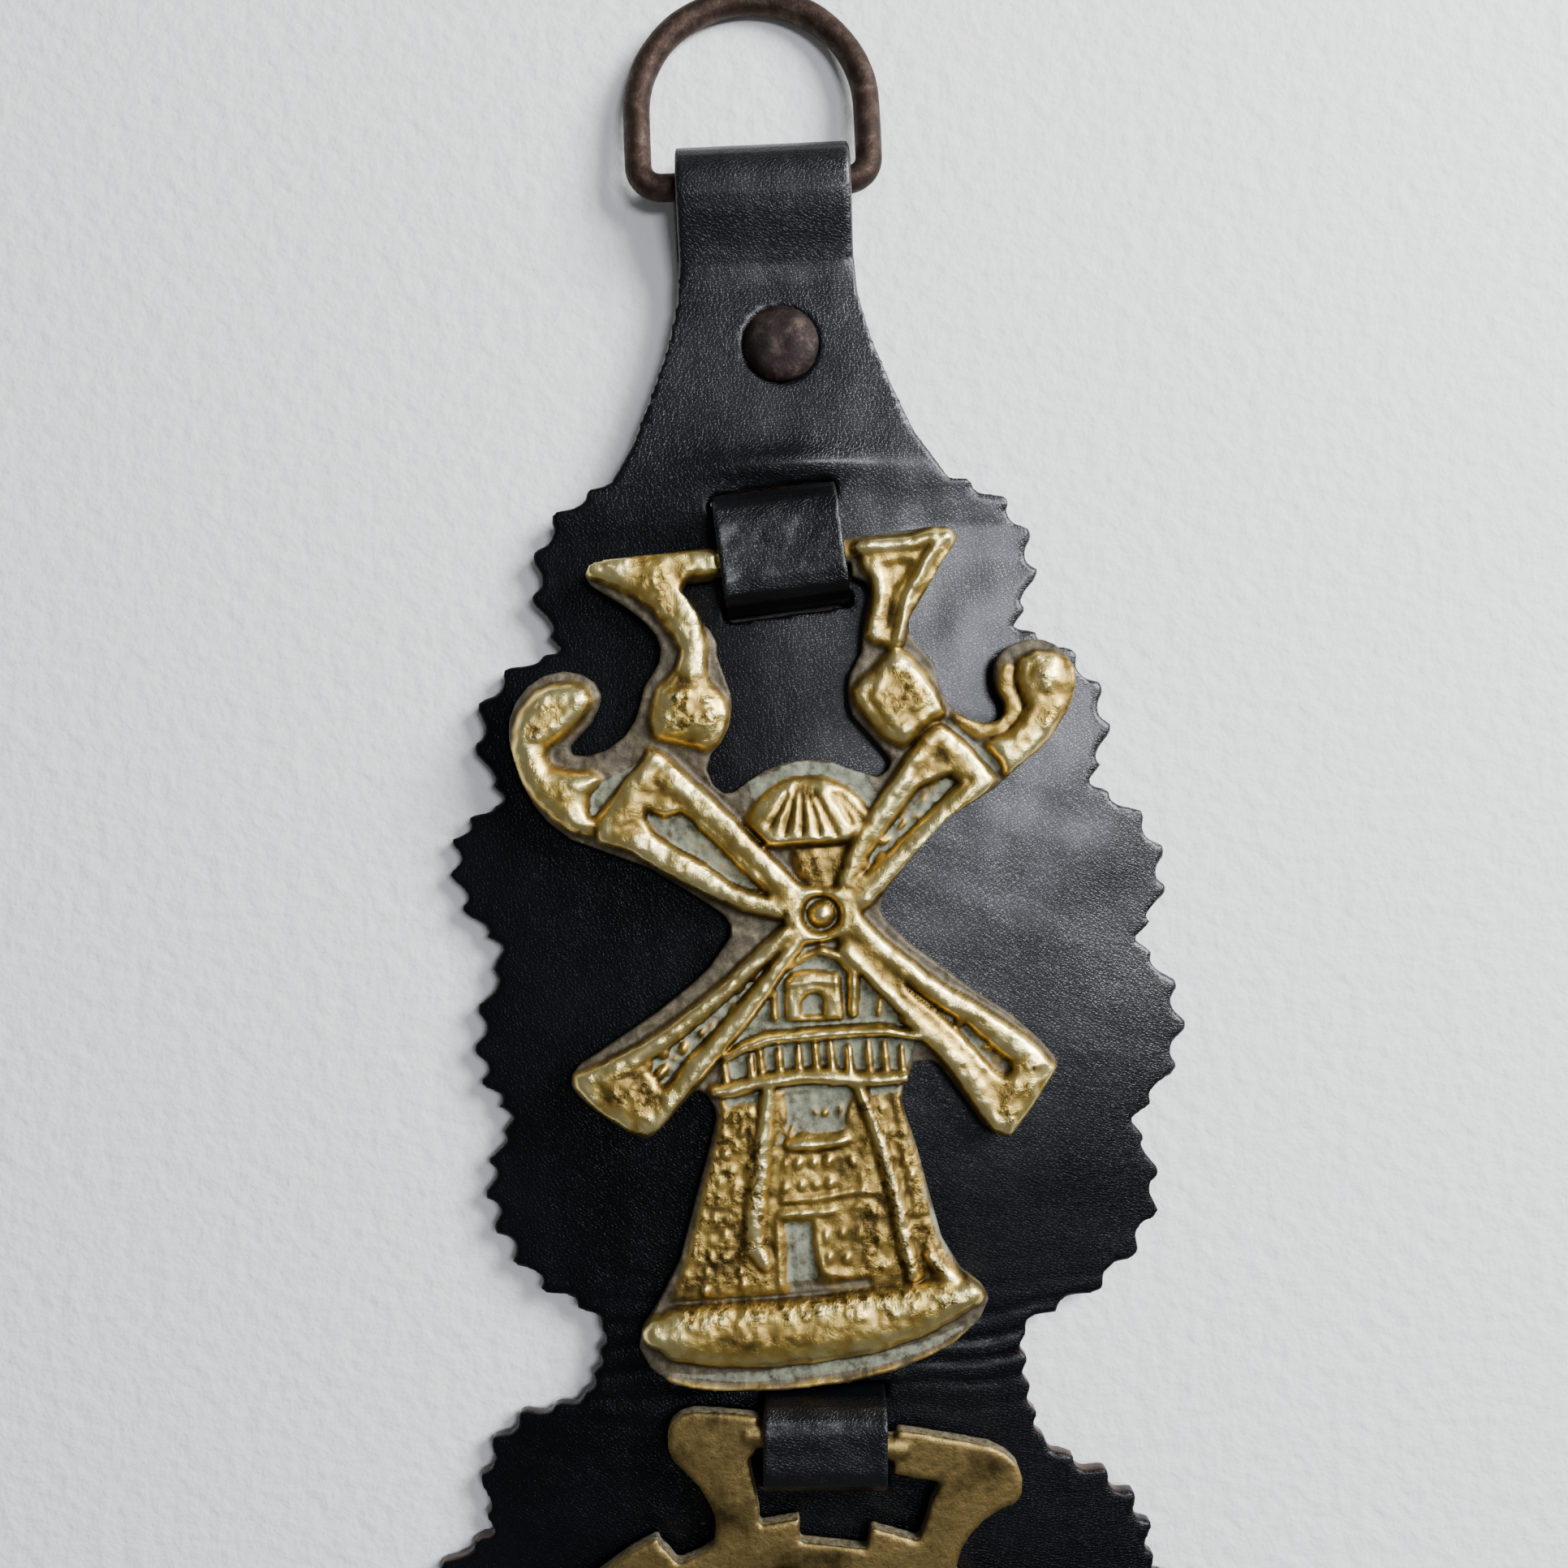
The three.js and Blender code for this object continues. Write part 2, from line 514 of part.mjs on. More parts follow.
// The raised frame of a sail round its sunk panel, with the cross bars of the lattice in it.
function sail({ turn, reach, tip }) {
  const root = 1.5; // distance of the frame's root from the hub
  const inset = 0.7;
  const frame = polygon([
    [root, -sailRoot], [reach - inset, -tip + inset], [reach - inset, tip - inset], [root, sailRoot],
  ]);
  const panelStart = 9;
  const panelEnd = reach - 4;
  const halfAt = (x) => sailRoot + ((tip - sailRoot) * (x - root)) / (reach - root) - railWidth;
  frame.holes.push(polygon([
    [panelStart, halfAt(panelStart)], [panelEnd, halfAt(panelEnd)],
    [panelEnd, -halfAt(panelEnd)], [panelStart, -halfAt(panelStart)],
  ]));
  const bars = [];
  const lean = 0.5; // the bars lean a little along the sail
  for (let x = panelStart + 2.2; x < panelEnd - 1; x += 3.4) {
    const half = halfAt(x) + 0.4; // each end runs into its rail
    const foot = polygon([[x - lean, -half], [x + lean, -half], [x + 2 * lean, half], [x, half]]);
    bars.push(plate(foot, 0, plateTop + 0.7));
  }
  return turnZ(join([plate(frame, 0, faceTop, 0.55), ...bars]), turn);
}

// The cap over the sails: a low half dome with ribs running up to its top.
function cap() {
  const ribs = 28;
  const ribHeight = 0.05; // as a share of the dome's own
  const size = new THREE.Vector3(8.4, 8, 3.2);
  const dome = new THREE.SphereGeometry(1, ribs, 6);
  const place = dome.attributes.position;
  for (let i = 0; i < place.count; i++) {
    const fan = Math.atan2(place.getX(i), place.getY(i) + 1);
    const rib = 1 + ribHeight * Math.cos(fan * ribs) * Math.max(0, place.getZ(i));
    place.setXYZ(i, place.getX(i) * size.x, place.getY(i) * size.y, place.getZ(i) * size.z * rib);
  }
  const sill = 8.6;
  const halfDome = solid(dome).translate([-1, sill + 0.6, plateTop]).intersect(box(-12, 12, sill, 20, 0, 10));
  const neck = polygon([[-6.6, 9], [-4, 2], [3.4, 2], [5.4, 9]]);
  return join([raised(neck, plateTop + 0.5, 0.3), halfDome]);
}

function hub() {
  return join([
    plate(disc(0, 0, 4.2), 0, faceTop, 0.5, 7).subtract(plate(disc(0, 0, 2.5), faceTop - 0.8, 9, 0, 7)),
    plate(disc(0, 0, 1.6), 0, faceTop + 0.3, 0.5, 6),
  ]);
}

// Upper floor: an arched window under the sails, with a bent bracket and a short bar beside it.
function upperFloor() {
  const arch = (half, height) => {
    const shape = new THREE.Shape();
    shape.moveTo(-half, -3);
    shape.lineTo(half, -3);
    shape.lineTo(half, height - half);
    shape.absarc(0, height - half, half, 0, Math.PI, false);
    shape.closePath();
    return shape;
  };
  const top = plateTop + 0.8;
  const opening = plate(arch(1.5, 1.8), plateTop, 9, 0, 4);
  return join([
    plate(arch(2.9, 3.6), 0, top, 0.25, 5).subtract(opening).translate([-1.5, -10, 0]),
    raised(band([[0.2, -6, 0.5], [3.6, -6.8, 0.6], [4.2, -12.7, 0.8]], 5), top, 0.2),
    plate(polygon([[-6.5, -12.8], [-5.3, -12.8], [-5.1, -9.6], [-6.3, -9.6]]), 0, top),
  ]);
}

// Gallery: two rails round the tower with posts between them.
function gallery() {
  const posts = 9;
  const firstPost = -11.6;
  const pitch = 2.5;
  const postHalf = 0.4;
  const upperRail = [
    [-12.6, -16.4, 0.8], [-7.5, -15, 0.9], [-2.2, -14.5, 0.9], [5, -14.7, 0.9], [12, -15.6, 0.8],
  ];
  const lowerRail = [[-13.2, -20.9, 0.9], [-8, -20, 1.1], [-1, -19.9, 1.1], [9.6, -20.3, 0.9]];
  const solids = [
    raised(band(upperRail, 7), faceTop, 0.45),
    raised(band(lowerRail, 6), faceTop, 0.45),
  ];
  for (let i = 0; i < posts; i++) {
    const x = firstPost + i * pitch;
    solids.push(box(x - postHalf, x + postHalf, -20.2, -15.2, 0, plateTop + 0.9));
  }
  return join(solids);
}

// Tower: a wall that widens downwards to a heavy rounded foot.
function tower() {
  const wall = polygon([
    [-12.6, -22], [-14.6, -30], [-18.2, -42], [-20.6, -47], [13.6, -46], [10, -35], [8, -22],
  ]);
  const foot = [
    [-22.6, -50.8, 2.6], [-18.5, -51.4, 4.3], [-11, -51.5, 4.5], [-3, -51.2, 4.3], [4, -50.6, 4],
    [10.5, -49.4, 3.2], [15.6, -48.4, 1.6],
  ];
  const roll = foot.map(([x, y, half]) => [x, y + 0.2, half * 0.72]);
  return join([
    plate(wall, 0, plateTop + 0.5, 0.25),
    plate(band(foot, 10), 0, faceTop, 0.5),
    plate(band(roll, 10), 0, faceTop + 0.9, 0.9),
  ]);
}

// The tower's carving: ribs, a barred window, a balcony with balusters, and the door.
function towerCarving() {
  const rib = (stations, top, steps) => raised(band(stations, steps), top, 0.4);
  const solids = [
    rib([[-7.7, -21, 1.0], [-8.6, -29, 1.2], [-9.8, -37, 1.5], [-11.6, -42, 1.3]], middling, 5),
    rib([[2.7, -21, 0.8], [4.6, -29, 1.1], [6.6, -37, 1.3], [8, -44, 1.3]], middling, 5),
    rib([[-12.4, -23, 0.8], [-14.4, -32, 0.9], [-17.4, -42, 1.1]], low, 4),
    rib([[7.6, -23, 0.7], [9.4, -32, 0.8], [11.8, -42, 1.0]], low, 4),
    box(-5.8, 1.0, -28.9, -27.8, 0, middling), // window sill
    box(-5.8, 1.0, -35.6, -34.9, 0, middling), // balcony floor
    box(-7.6, 0.2, -37.1, -36.2, 0, middling), // over the door
    box(-7.5, -6.6, -46.6, -37, 0, low), // door posts
    box(-3.2, -1.9, -46.2, -37, 0, low),
    box(-1.0, 0.2, -44, -37, 0, low),
  ];
  const uprights = (count, first, pitch, half, y0, y1) => {
    for (let i = 0; i < count; i++) {
      const x = first + pitch * i;
      solids.push(box(x - half, x + half, y0, y1, 0, low));
    }
  };
  uprights(3, -4.6, 1.9, 0.4, -27.8, -23); // window bars
  uprights(5, -5, 1.4, 0.35, -35, -28.8); // balusters
  return join(solids);
}

function windmill() {
  const carving = [hanger(), hooks(), cap(), hub(), upperFloor(), gallery(), tower(), towerCarving()];
  return join([flange(), ...sails.map(sail), ...carving]);
}

// ---- Lower brass: a flat casting, pierced like a wheel. X and Y are measured from its bar ----

const wheel = { x: 0.4, y: -45.8, radius: 38 };
const rimWidth = 8;
const bossRadius = 12.5;
const spokes = 8;

function wheelOpening(i) {
  const inner = bossRadius + 0.5;
  const outer = wheel.radius - rimWidth;
  const half = Math.PI / spokes;
  const spoke = 2.4; // half width of a spoke
  const shape = new THREE.Shape();
  shape.absarc(0, 0, outer, -half + spoke / outer, half - spoke / outer, false);
  shape.absarc(0, 0, inner, half - spoke / inner, -half + spoke / inner, true);
  shape.closePath();
  return turnZ(plate(shape, -5, 5, 0, 4), (i + 0.5) * (360 / spokes)).translate([wheel.x, wheel.y, 0]);
}

// Each arm comes down from its end of the bar, round a swelling shoulder, into the wheel's rim.
const leftArm = [
  [-8.6, 2.5], [-10.9, 2.5], [-13.7, 2.5], [-16.6, 2.3], [-18.2, 1.7], [-19.1, 0.8], [-19.5, -0.5],
  [-19.3, -2.5], [-18.4, -4.1], [-16.7, -5.4], [-14.9, -7], [-13.5, -9], [-12.7, -10.5], [-12.5, -12],
  [-12.6, -18], [-7, -18], [-7.3, -11], [-7.3, -9.6], [-7.9, -7.2], [-8.7, -4.8], [-9.3, -2.8], [-8.6, -2.3],
];
const rightArm = [
  [8.6, 2.45], [13.8, 2.1], [20, 1.6], [22.2, 0.8], [23.7, -0.4], [24.5, -2.1], [24.6, -4.1], [23.9, -5.3],
  [21.9, -6.3], [20.1, -7.9], [18.8, -9.6], [17.9, -11.4], [17.4, -14], [17.4, -18], [12, -18],
  [12.6, -11], [13.3, -8.5], [13.7, -6], [14.7, -3.5], [8.6, -3.1],
];
// Cuts in the wheel's rim: the stepped sill between the arms, and a nick outside each arm.
const sill = [
  [-10, -7], [-10, -11.8], [-7.3, -11], [-2.3, -9.6], [-2.1, -12.5], [6.4, -12.6], [6.5, -9.9], [12.6, -11],
  [14.4, -11.4], [14.4, -7],
];
const leftNick = [
  [-10, -7], [-10, -14], [-12.6, -14], [-14.1, -15.2], [-16.8, -16.7], [-18.2, -15.2], [-19.3, -14.4],
  [-20.5, -9],
];
const rightNick = [
  [15, -7], [15, -14], [17.4, -14], [18.5, -16], [21, -17], [22.5, -15.6], [23.6, -14.8], [25, -9],
];

function lowerBrass() {
  const half = lowerPlate / 2;
  const flat = (shape, steps = 8) => plate(shape, -half, half, 0, steps);
  const cut = (points) => plate(polygon(points), -5, 5);
  const rim = flat(disc(wheel.x, wheel.y, wheel.radius), 24)
    .subtract(join([cut(sill), cut(leftNick), cut(rightNick)]));
  const openings = Array.from({ length: spokes }, (_, i) => wheelOpening(i));
  const dome = solid(new THREE.SphereGeometry(1, 20, 6).scale(8, 8, 2.4));
  const boss = dome.translate([wheel.x, wheel.y, half - 0.4]);
  return join([rim, flat(polygon(leftArm)), flat(polygon(rightArm))])
    .subtract(join(openings))
    .add(join([rod(-10, 10, 0, 0, barRadius), boss]));
}

// ---- Assembly -------------------------------------------------------------------------------

function mesh(name, body, material) {
  const part = new THREE.Mesh(geometryOf(body), material);
  part.name = name;
  return part;
}

// A group whose X axis is the line that its piece turns about.
function hinge({ x, y, z, turn, droop }, part) {
  const line = new THREE.Group();
  line.position.set(x, y, z);
  line.rotation.set(droop, 0, turn, "ZXY");
  line.add(part);
  return line;
}

const hanging = new THREE.Group();

hanging.add(mesh("leather_strap", strap(), blackLeather));
hanging.add(mesh("rivet", rivet(), rustySteel));

const ringBarZ = foldLift + ringWire / 2;
const ringDroop = -Math.asin((ringBarZ - ringWire / 2 - 0.05) / (ringReach - ringWire / 2));
hanging.add(hinge({ x: ringSide, y: ringBarY, z: ringBarZ, turn: 0, droop: ringDroop },
  mesh("d_ring", ring(), rustySteel)));

function hangLoop(name, place, barZ) {
  const leatherLoop = mesh(name, loop(place, barZ), blackLeather);
  leatherLoop.position.set(place.x, place.y, 0);
  leatherLoop.rotation.z = place.turn;
  hanging.add(leatherLoop);
}
hangLoop("upper_loop", upperLoop, windmillHinge.z);
hangLoop("lower_loop", lowerLoop, lowerHinge.z);

const windmillPart = mesh("windmill_brass", windmill(), castBrass);
windmillPart.rotation.z = -barSlope;
windmillPart.position.set(-windmillAxis[0], -windmillAxis[1], 0).applyEuler(windmillPart.rotation);
hanging.add(hinge(windmillHinge, windmillPart));
hanging.add(hinge(lowerHinge, mesh("lower_brass", lowerBrass(), dullBrass)));

// The part's origin is the middle of its footprint, on the table.
const extent = new THREE.Box3().setFromObject(hanging, true);
const middle = extent.getCenter(new THREE.Vector3());
hanging.position.set(-middle.x, -middle.y, -extent.min.z);

const group = new THREE.Group();
group.add(hanging);
export default group;
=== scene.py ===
import math

import bpy
import numpy as np
from mathutils import Matrix, Vector


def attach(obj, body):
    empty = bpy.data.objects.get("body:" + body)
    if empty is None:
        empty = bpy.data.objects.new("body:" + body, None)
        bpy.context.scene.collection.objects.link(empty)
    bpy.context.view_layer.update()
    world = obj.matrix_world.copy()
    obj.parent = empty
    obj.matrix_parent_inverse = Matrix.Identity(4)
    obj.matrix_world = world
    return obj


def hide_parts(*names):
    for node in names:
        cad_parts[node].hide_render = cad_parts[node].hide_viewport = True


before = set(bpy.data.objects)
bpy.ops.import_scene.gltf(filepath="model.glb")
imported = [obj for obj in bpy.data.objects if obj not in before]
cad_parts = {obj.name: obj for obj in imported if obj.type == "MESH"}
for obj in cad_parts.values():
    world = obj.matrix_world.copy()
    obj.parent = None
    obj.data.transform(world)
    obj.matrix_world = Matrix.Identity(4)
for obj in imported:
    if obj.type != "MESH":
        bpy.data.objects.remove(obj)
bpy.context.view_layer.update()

# ---- Floor -----------------------------------------------------------------------------------
# A plain pale board, painted with a soft roller and left matt. It is part of the setting only.

MM = 0.001


def linear(code):
    """An sRGB hex colour as linear red, green, blue and alpha."""
    parts = [int(code[i:i + 2], 16) / 255 for i in (1, 3, 5)]
    return [c / 12.92 if c <= 0.04045 else ((c + 0.055) / 1.055) ** 2.4 for c in parts] + [1.0]


def add(material, kind, links=None, stops=(), **settings):
    """Adds a node: settings are its own, links fill its sockets, stops are a ramp's (place, tone)."""
    made = material.node_tree.nodes.new("ShaderNode" + kind)
    for _ in stops[2:]:
        made.color_ramp.elements.new(0.5)
    for i, (position, tone) in enumerate(stops):
        element = made.color_ramp.elements[i]
        element.position = position
        element.color = linear(tone) if isinstance(tone, str) else [tone] * 3 + [1]
    for name, value in settings.items():
        setattr(made, name, value)
    for name, value in (links or {}).items():
        socket = made.inputs[name]
        if isinstance(value, bpy.types.NodeSocket):
            material.node_tree.links.new(value, socket)
        else:
            socket.default_value = value
    return made


def new_material(name):
    material = bpy.data.materials.new(name)
    material.use_nodes = True
    material.node_tree.nodes.clear()
    return material


def finish_material(material, surface):
    add(material, "OutputMaterial", {"Surface": surface.outputs["BSDF"]})


def alone():
    """Leaves edit mode and deselects everything."""
    if bpy.context.object and bpy.context.object.mode != "OBJECT":
        bpy.ops.object.mode_set(mode="OBJECT")
    bpy.ops.object.select_all(action="DESELECT")


floor_paint = new_material("floor_paint_matt")
place = add(floor_paint, "TexCoord")
stipple = add(floor_paint, "TexNoise", {"Vector": place.outputs["Object"], "Scale": 420.0, "Detail": 4.0})
paint = add(floor_paint, "BsdfPrincipled", {
    "Base Color": linear("#eaeae6"),
    "Roughness": 0.75,
    "Normal": add(floor_paint, "Bump", {
        "Height": stipple.outputs["Fac"], "Distance": 0.0008, "Strength": 0.6}).outputs["Normal"],
})
finish_material(floor_paint, paint)

alone()
bpy.ops.mesh.primitive_plane_add(size=2.4, location=(0, 0, 0))
floor = bpy.context.object
floor.name = "floor"
floor.data.materials.append(floor_paint)

# ---- Camera and light ------------------------------------------------------------------------
# The camera looks straight down from 200 mm over the brasses, turned a little against the strap.
# One large soft window to the upper right, a weaker one above, and a dim room round them.

CAMERA_PLACE = (-0.00041, 0.03875, 0.208)
CAMERA_TURN = math.radians(-2.367)
bpy.ops.object.camera_add(location=CAMERA_PLACE, rotation=(0, 0, CAMERA_TURN))
camera = bpy.context.object
camera.name = "camera"
camera.data.sensor_width = 36.0
camera.data.lens = 37.24
camera.data.clip_start = 0.01
bpy.context.scene.camera = camera


def soft_light(name, place, aim, size, watts, colour):
    bpy.ops.object.light_add(type="AREA", location=place)
    light = bpy.context.object
    light.name = name
    light.data.shape = "RECTANGLE"
    light.data.size, light.data.size_y = size
    light.data.energy = watts
    light.data.color = linear(colour)[:3]
    light.rotation_euler = (Vector(aim) - Vector(place)).to_track_quat("-Z", "Y").to_euler()


soft_light("window", (0.50, 0.30, 0.42), (0, 0.02, 0), (0.30, 0.36), 13.5, "#f8f9ff")
soft_light("ceiling", (0.23, 0.12, 0.80), (0.02, 0.04, 0), (0.14, 0.2), 3.4, "#eef3ff")
room = bpy.data.worlds.new("room")
room.use_nodes = True
room.node_tree.nodes["Background"].inputs["Color"].default_value = linear("#c9ccd2")
room.node_tree.nodes["Background"].inputs["Strength"].default_value = 0.28
bpy.context.scene.world = room

# ---- Leather strap ---------------------------------------------------------------------------
# One piece of thick, vegetable-tanned harness leather, cut to two lobes with a pinked edge, dyed
# black and waxed. Its top is folded round the ring and held by the rivet; the waist is creased.

WAIST = -32.756  # middle of the creased waist, in mm along the strap
LIP_AT = (0.9, 78.75)  # middle of the lip over the upper loop
DENT_AT = (-12.2, 67.1)  # where the end of the windmill's bar has pressed
MOST_TRIANGLES = 190000


def cast_off(node, name):
    """A closed copy of a CAD node, in millimetres, which can be reskinned and shaped."""
    alone()
    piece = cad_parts[node].copy()
    piece.data = piece.data.copy()
    piece.name = name
    piece.parent = None
    piece.matrix_world = Matrix.Identity(4)
    piece.data.materials.clear()
    bpy.context.collection.objects.link(piece)
    piece.hide_render = False
    piece.select_set(True)
    bpy.context.view_layer.objects.active = piece
    piece.data.transform(Matrix.Scale(1 / MM, 4))
    bpy.ops.object.mode_set(mode="EDIT")
    bpy.ops.mesh.select_all(action="SELECT")
    bpy.ops.mesh.remove_doubles(threshold=1e-3)
    bpy.ops.object.mode_set(mode="OBJECT")
    return piece


def reskin(piece, voxel):
    """Rebuilds a piece as one even skin with faces of the given size, in mm."""
    skin = piece.modifiers.new("skin", "REMESH")
    skin.mode = "VOXEL"
    skin.voxel_size = voxel
    bpy.context.view_layer.objects.active = piece
    bpy.ops.object.modifier_apply(modifier=skin.name)


def points_of(piece):
    flat = np.empty(len(piece.data.vertices) * 3)
    piece.data.vertices.foreach_get("co", flat)
    return flat.reshape(-1, 3)


def normals_of(piece):
    flat = np.empty(len(piece.data.vertices) * 3)
    piece.data.vertices.foreach_get("normal", flat)
    return flat.reshape(-1, 3)


def move_points(piece, points):
    piece.data.vertices.foreach_set("co", np.ascontiguousarray(points, dtype=np.float64).ravel())
    piece.data.update()


def keep(piece, name, values):
    """Stores a value for each point, which the material reads as an attribute."""
    attribute = piece.data.attributes.new(name, "FLOAT", "POINT")
    attribute.data.foreach_set("value", np.asarray(values, dtype=np.float32))


def to_metres(piece, material):
    piece.data.transform(Matrix.Scale(MM, 4))
    piece.data.materials.append(material)
    alone()
    piece.select_set(True)
    bpy.context.view_layer.objects.active = piece
    bpy.ops.object.shade_smooth()


def step(low, high, value):
    t = np.clip((value - low) / (high - low), 0, 1)
    return t * t * (3 - 2 * t)


def waves(x, y, seed, pitch, octaves=3):
    """Smooth random ripples between about -1 and 1, with the given pitch in mm."""
    draw = np.random.default_rng(seed)
    total = np.zeros_like(x)
    reach = 0.0
    for octave in range(octaves):
        for _ in range(7):
            angle, phase = draw.uniform(0, 2 * math.pi, 2)
            turn = 2 * math.pi * 2 ** octave / (pitch * draw.uniform(0.75, 1.35))
            total += np.sin((x * math.cos(angle) + y * math.sin(angle)) * turn + phase) / 2 ** octave
        reach += 7 ** 0.5 / 2 ** octave
    return total / reach


def harness_leather(name, raw_edges):
    """Black waxed harness leather: fine pebbled grain with a soft shine, brown where it is cut raw."""
    leather = new_material(name)
    place = add(leather, "TexCoord").outputs["Object"]
    stretched = add(leather, "Mapping", {"Vector": place, "Scale": (1.0, 1.5, 1.0)}).outputs["Vector"]
    # grain cells about 0.5 mm across, longer across the strap than along it
    grain = add(leather, "TexVoronoi", {"Vector": stretched, "Scale": 2100.0}, feature="DISTANCE_TO_EDGE")
    pores = add(leather, "TexNoise", {"Vector": stretched, "Scale": 2600.0, "Detail": 3.0})
    folds = add(leather, "TexNoise", {
        "Vector": stretched, "Scale": 170.0, "Detail": 5.0, "Roughness": 0.6, "Distortion": 0.6})
    wax = add(leather, "TexNoise", {"Vector": place, "Scale": 55.0, "Detail": 4.0})
    cells = add(leather, "ValToRGB", {"Fac": grain.outputs["Distance"]}, [(0.0, 0.0), (0.22, 1.0)]).outputs[0]
    height = add(leather, "Math", {0: cells, 1: 0.7}, operation="MULTIPLY").outputs[0]
    height = add(leather, "Math", {0: pores.outputs["Fac"], 1: 0.6, 2: height},
                 operation="MULTIPLY_ADD").outputs[0]
    fine = add(leather, "Bump", {"Height": height, "Distance": 0.00004, "Strength": 1.0})
    coarse = add(leather, "Bump", {
        "Height": folds.outputs["Fac"], "Distance": 0.0006, "Strength": 0.3,
        "Normal": fine.outputs["Normal"]})
    black = add(leather, "ValToRGB", {"Fac": wax.outputs["Fac"]},
                [(0.3, "#020203"), (0.7, "#060709")]).outputs[0]
    colour = black
    if raw_edges:
        raw = add(leather, "Attribute", attribute_name="raw").outputs["Fac"]
        colour = add(leather, "Mix", {0: raw, 6: black, 7: linear("#3a2a1f")},
                     data_type="RGBA").outputs[2]
    shine = add(leather, "ValToRGB", {"Fac": wax.outputs["Fac"]}, [(0.25, 0.27), (0.75, 0.40)]).outputs[0]
    # the wax has kept its shine where nothing rubs, and is dull elsewhere
    waxed = add(leather, "Attribute", attribute_name="waxed").outputs["Fac"]
    gloss = add(leather, "Math", {0: waxed, 1: 0.3, 2: 0.1}, operation="MULTIPLY_ADD").outputs[0]
    surface = add(leather, "BsdfPrincipled", {
        "Base Color": colour, "Roughness": shine, "Specular IOR Level": gloss,
        "Coat Weight": gloss, "Coat Roughness": 0.26, "Normal": coarse.outputs["Normal"]})
    finish_material(leather, surface)
    return leather


strap = cast_off("leather_strap", "strap_of_harness_leather")
reskin(strap, 0.5)
at = points_of(strap)
x, y, z = at.T
# Across the waist the leather has been bent to and fro for years, and stands in sharp little folds.
waist = np.exp(-((y - WAIST) / 6.5) ** 2)
fold_line = y + 1.6 * waves(x, y, 11, 34, 2)
folds = np.abs(np.sin(fold_line * math.pi / 3.1)) ** 0.6 - 0.6
at[:, 2] += np.where(z > 1.5, 0.42 * waist * folds, 0.2 * waist * folds)
# It is pulled up into a lip where the upper loop goes down through it.
lip = np.exp(-((x - LIP_AT[0]) / 9.5) ** 2 - ((y - LIP_AT[1]) / 1.9) ** 2)
at[:, 2] += np.where(z > 3.0, 1.1 * lip, 0)
# The whole strap is a little uneven.
at[:, 2] += np.where(z > 1.2, 0.14 * waves(x, y, 5, 26), 0)
# The end of the windmill's bar has pressed a shallow dent into it, left of the loop.
dent = np.exp(-((x - DENT_AT[0]) / 5.5) ** 2 - ((y - DENT_AT[1]) / 2.5) ** 2)
at[:, 2] -= np.where(z > 3.0, 0.35 * dent, 0)
at[:, 2] = np.maximum(at[:, 2], 0.0)
move_points(strap, at)
slim = strap.modifiers.new("slim", "DECIMATE")
slim.ratio = min(1.0, MOST_TRIANGLES / (2 * len(strap.data.polygons)))
bpy.ops.object.modifier_apply(modifier=slim.name)
at = points_of(strap)
out = normals_of(strap)
raw = step(0.35, 0.8, 1 - np.abs(out[:, 2])) * step(-0.5, 0.6, waves(at[:, 0], at[:, 1], 3, 30))
keep(strap, "raw", raw)
waxed = np.maximum(step(-12, 12, at[:, 0]) * step(-15, 15, at[:, 1]), 0.75 * step(68, 84, at[:, 1]))
keep(strap, "waxed", waxed * (0.85 + 0.15 * waves(at[:, 0], at[:, 1], 19, 18, 2)))
black_leather = harness_leather("harness_leather_black_waxed", True)
to_metres(strap, black_leather)
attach(strap, "strap")
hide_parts("leather_strap")

# ---- Ring ------------------------------------------------------------------------------------
# A D-shaped ring of 3.5 mm iron wire, bent up and butted inside the fold of the strap, brown with
# old rust that is rubbed through to grey metal on its high side.

WIRE = 3.5 / 2
RING_SIDE = 14.5
RING_BAR = 11.5
RING_CORNER = 3.0
RING_ROUND = 9.95
RING_PLACE = Vector((-1.017, 114.044, 4.65))
RING_DROOP = math.radians(-6.69)


def rusty_iron(name, dark, light, scale):
    """Iron wire or a forged head, under thin brown rust: dull, pitted, and rubbed grey here and there."""
    iron = new_material(name)
    place = add(iron, "TexCoord").outputs["Object"]
    patches = add(iron, "TexNoise", {"Vector": place, "Scale": scale, "Detail": 6.0, "Roughness": 0.65})
    pits = add(iron, "TexNoise", {"Vector": place, "Scale": 2400.0, "Detail": 4.0, "Roughness": 0.7})
    worn = add(iron, "ValToRGB", {"Fac": patches.outputs["Fac"]}, [(0.55, 0.0), (0.72, 1.0)]).outputs[0]
    colour = add(iron, "ValToRGB", {"Fac": patches.outputs["Fac"]},
                 [(0.25, dark), (0.5, light), (0.8, "#574b41")]).outputs[0]
    surface = add(iron, "BsdfPrincipled", {
        "Base Color": colour,
        "Metallic": 0.75,
        "Roughness": add(iron, "ValToRGB", {"Fac": pits.outputs["Fac"]},
                         [(0.3, 0.7), (0.7, 0.48)]).outputs[0],
        "Normal": add(iron, "Bump", {
            "Height": pits.outputs["Fac"], "Distance": 0.00012, "Strength": 0.7}).outputs["Normal"],
    })
    finish_material(iron, surface)
    return iron


def select_where(piece, chosen):
    """In edit mode, selects just the points that the test picks out."""
    bpy.ops.object.mode_set(mode="OBJECT")
    for group in (piece.data.vertices, piece.data.edges, piece.data.polygons):
        group.foreach_set("select", [False] * len(group))
    for vertex in piece.data.vertices:
        vertex.select = bool(chosen(vertex.co))
    bpy.ops.object.mode_set(mode="EDIT")
    bpy.ops.mesh.select_mode(type="VERT")


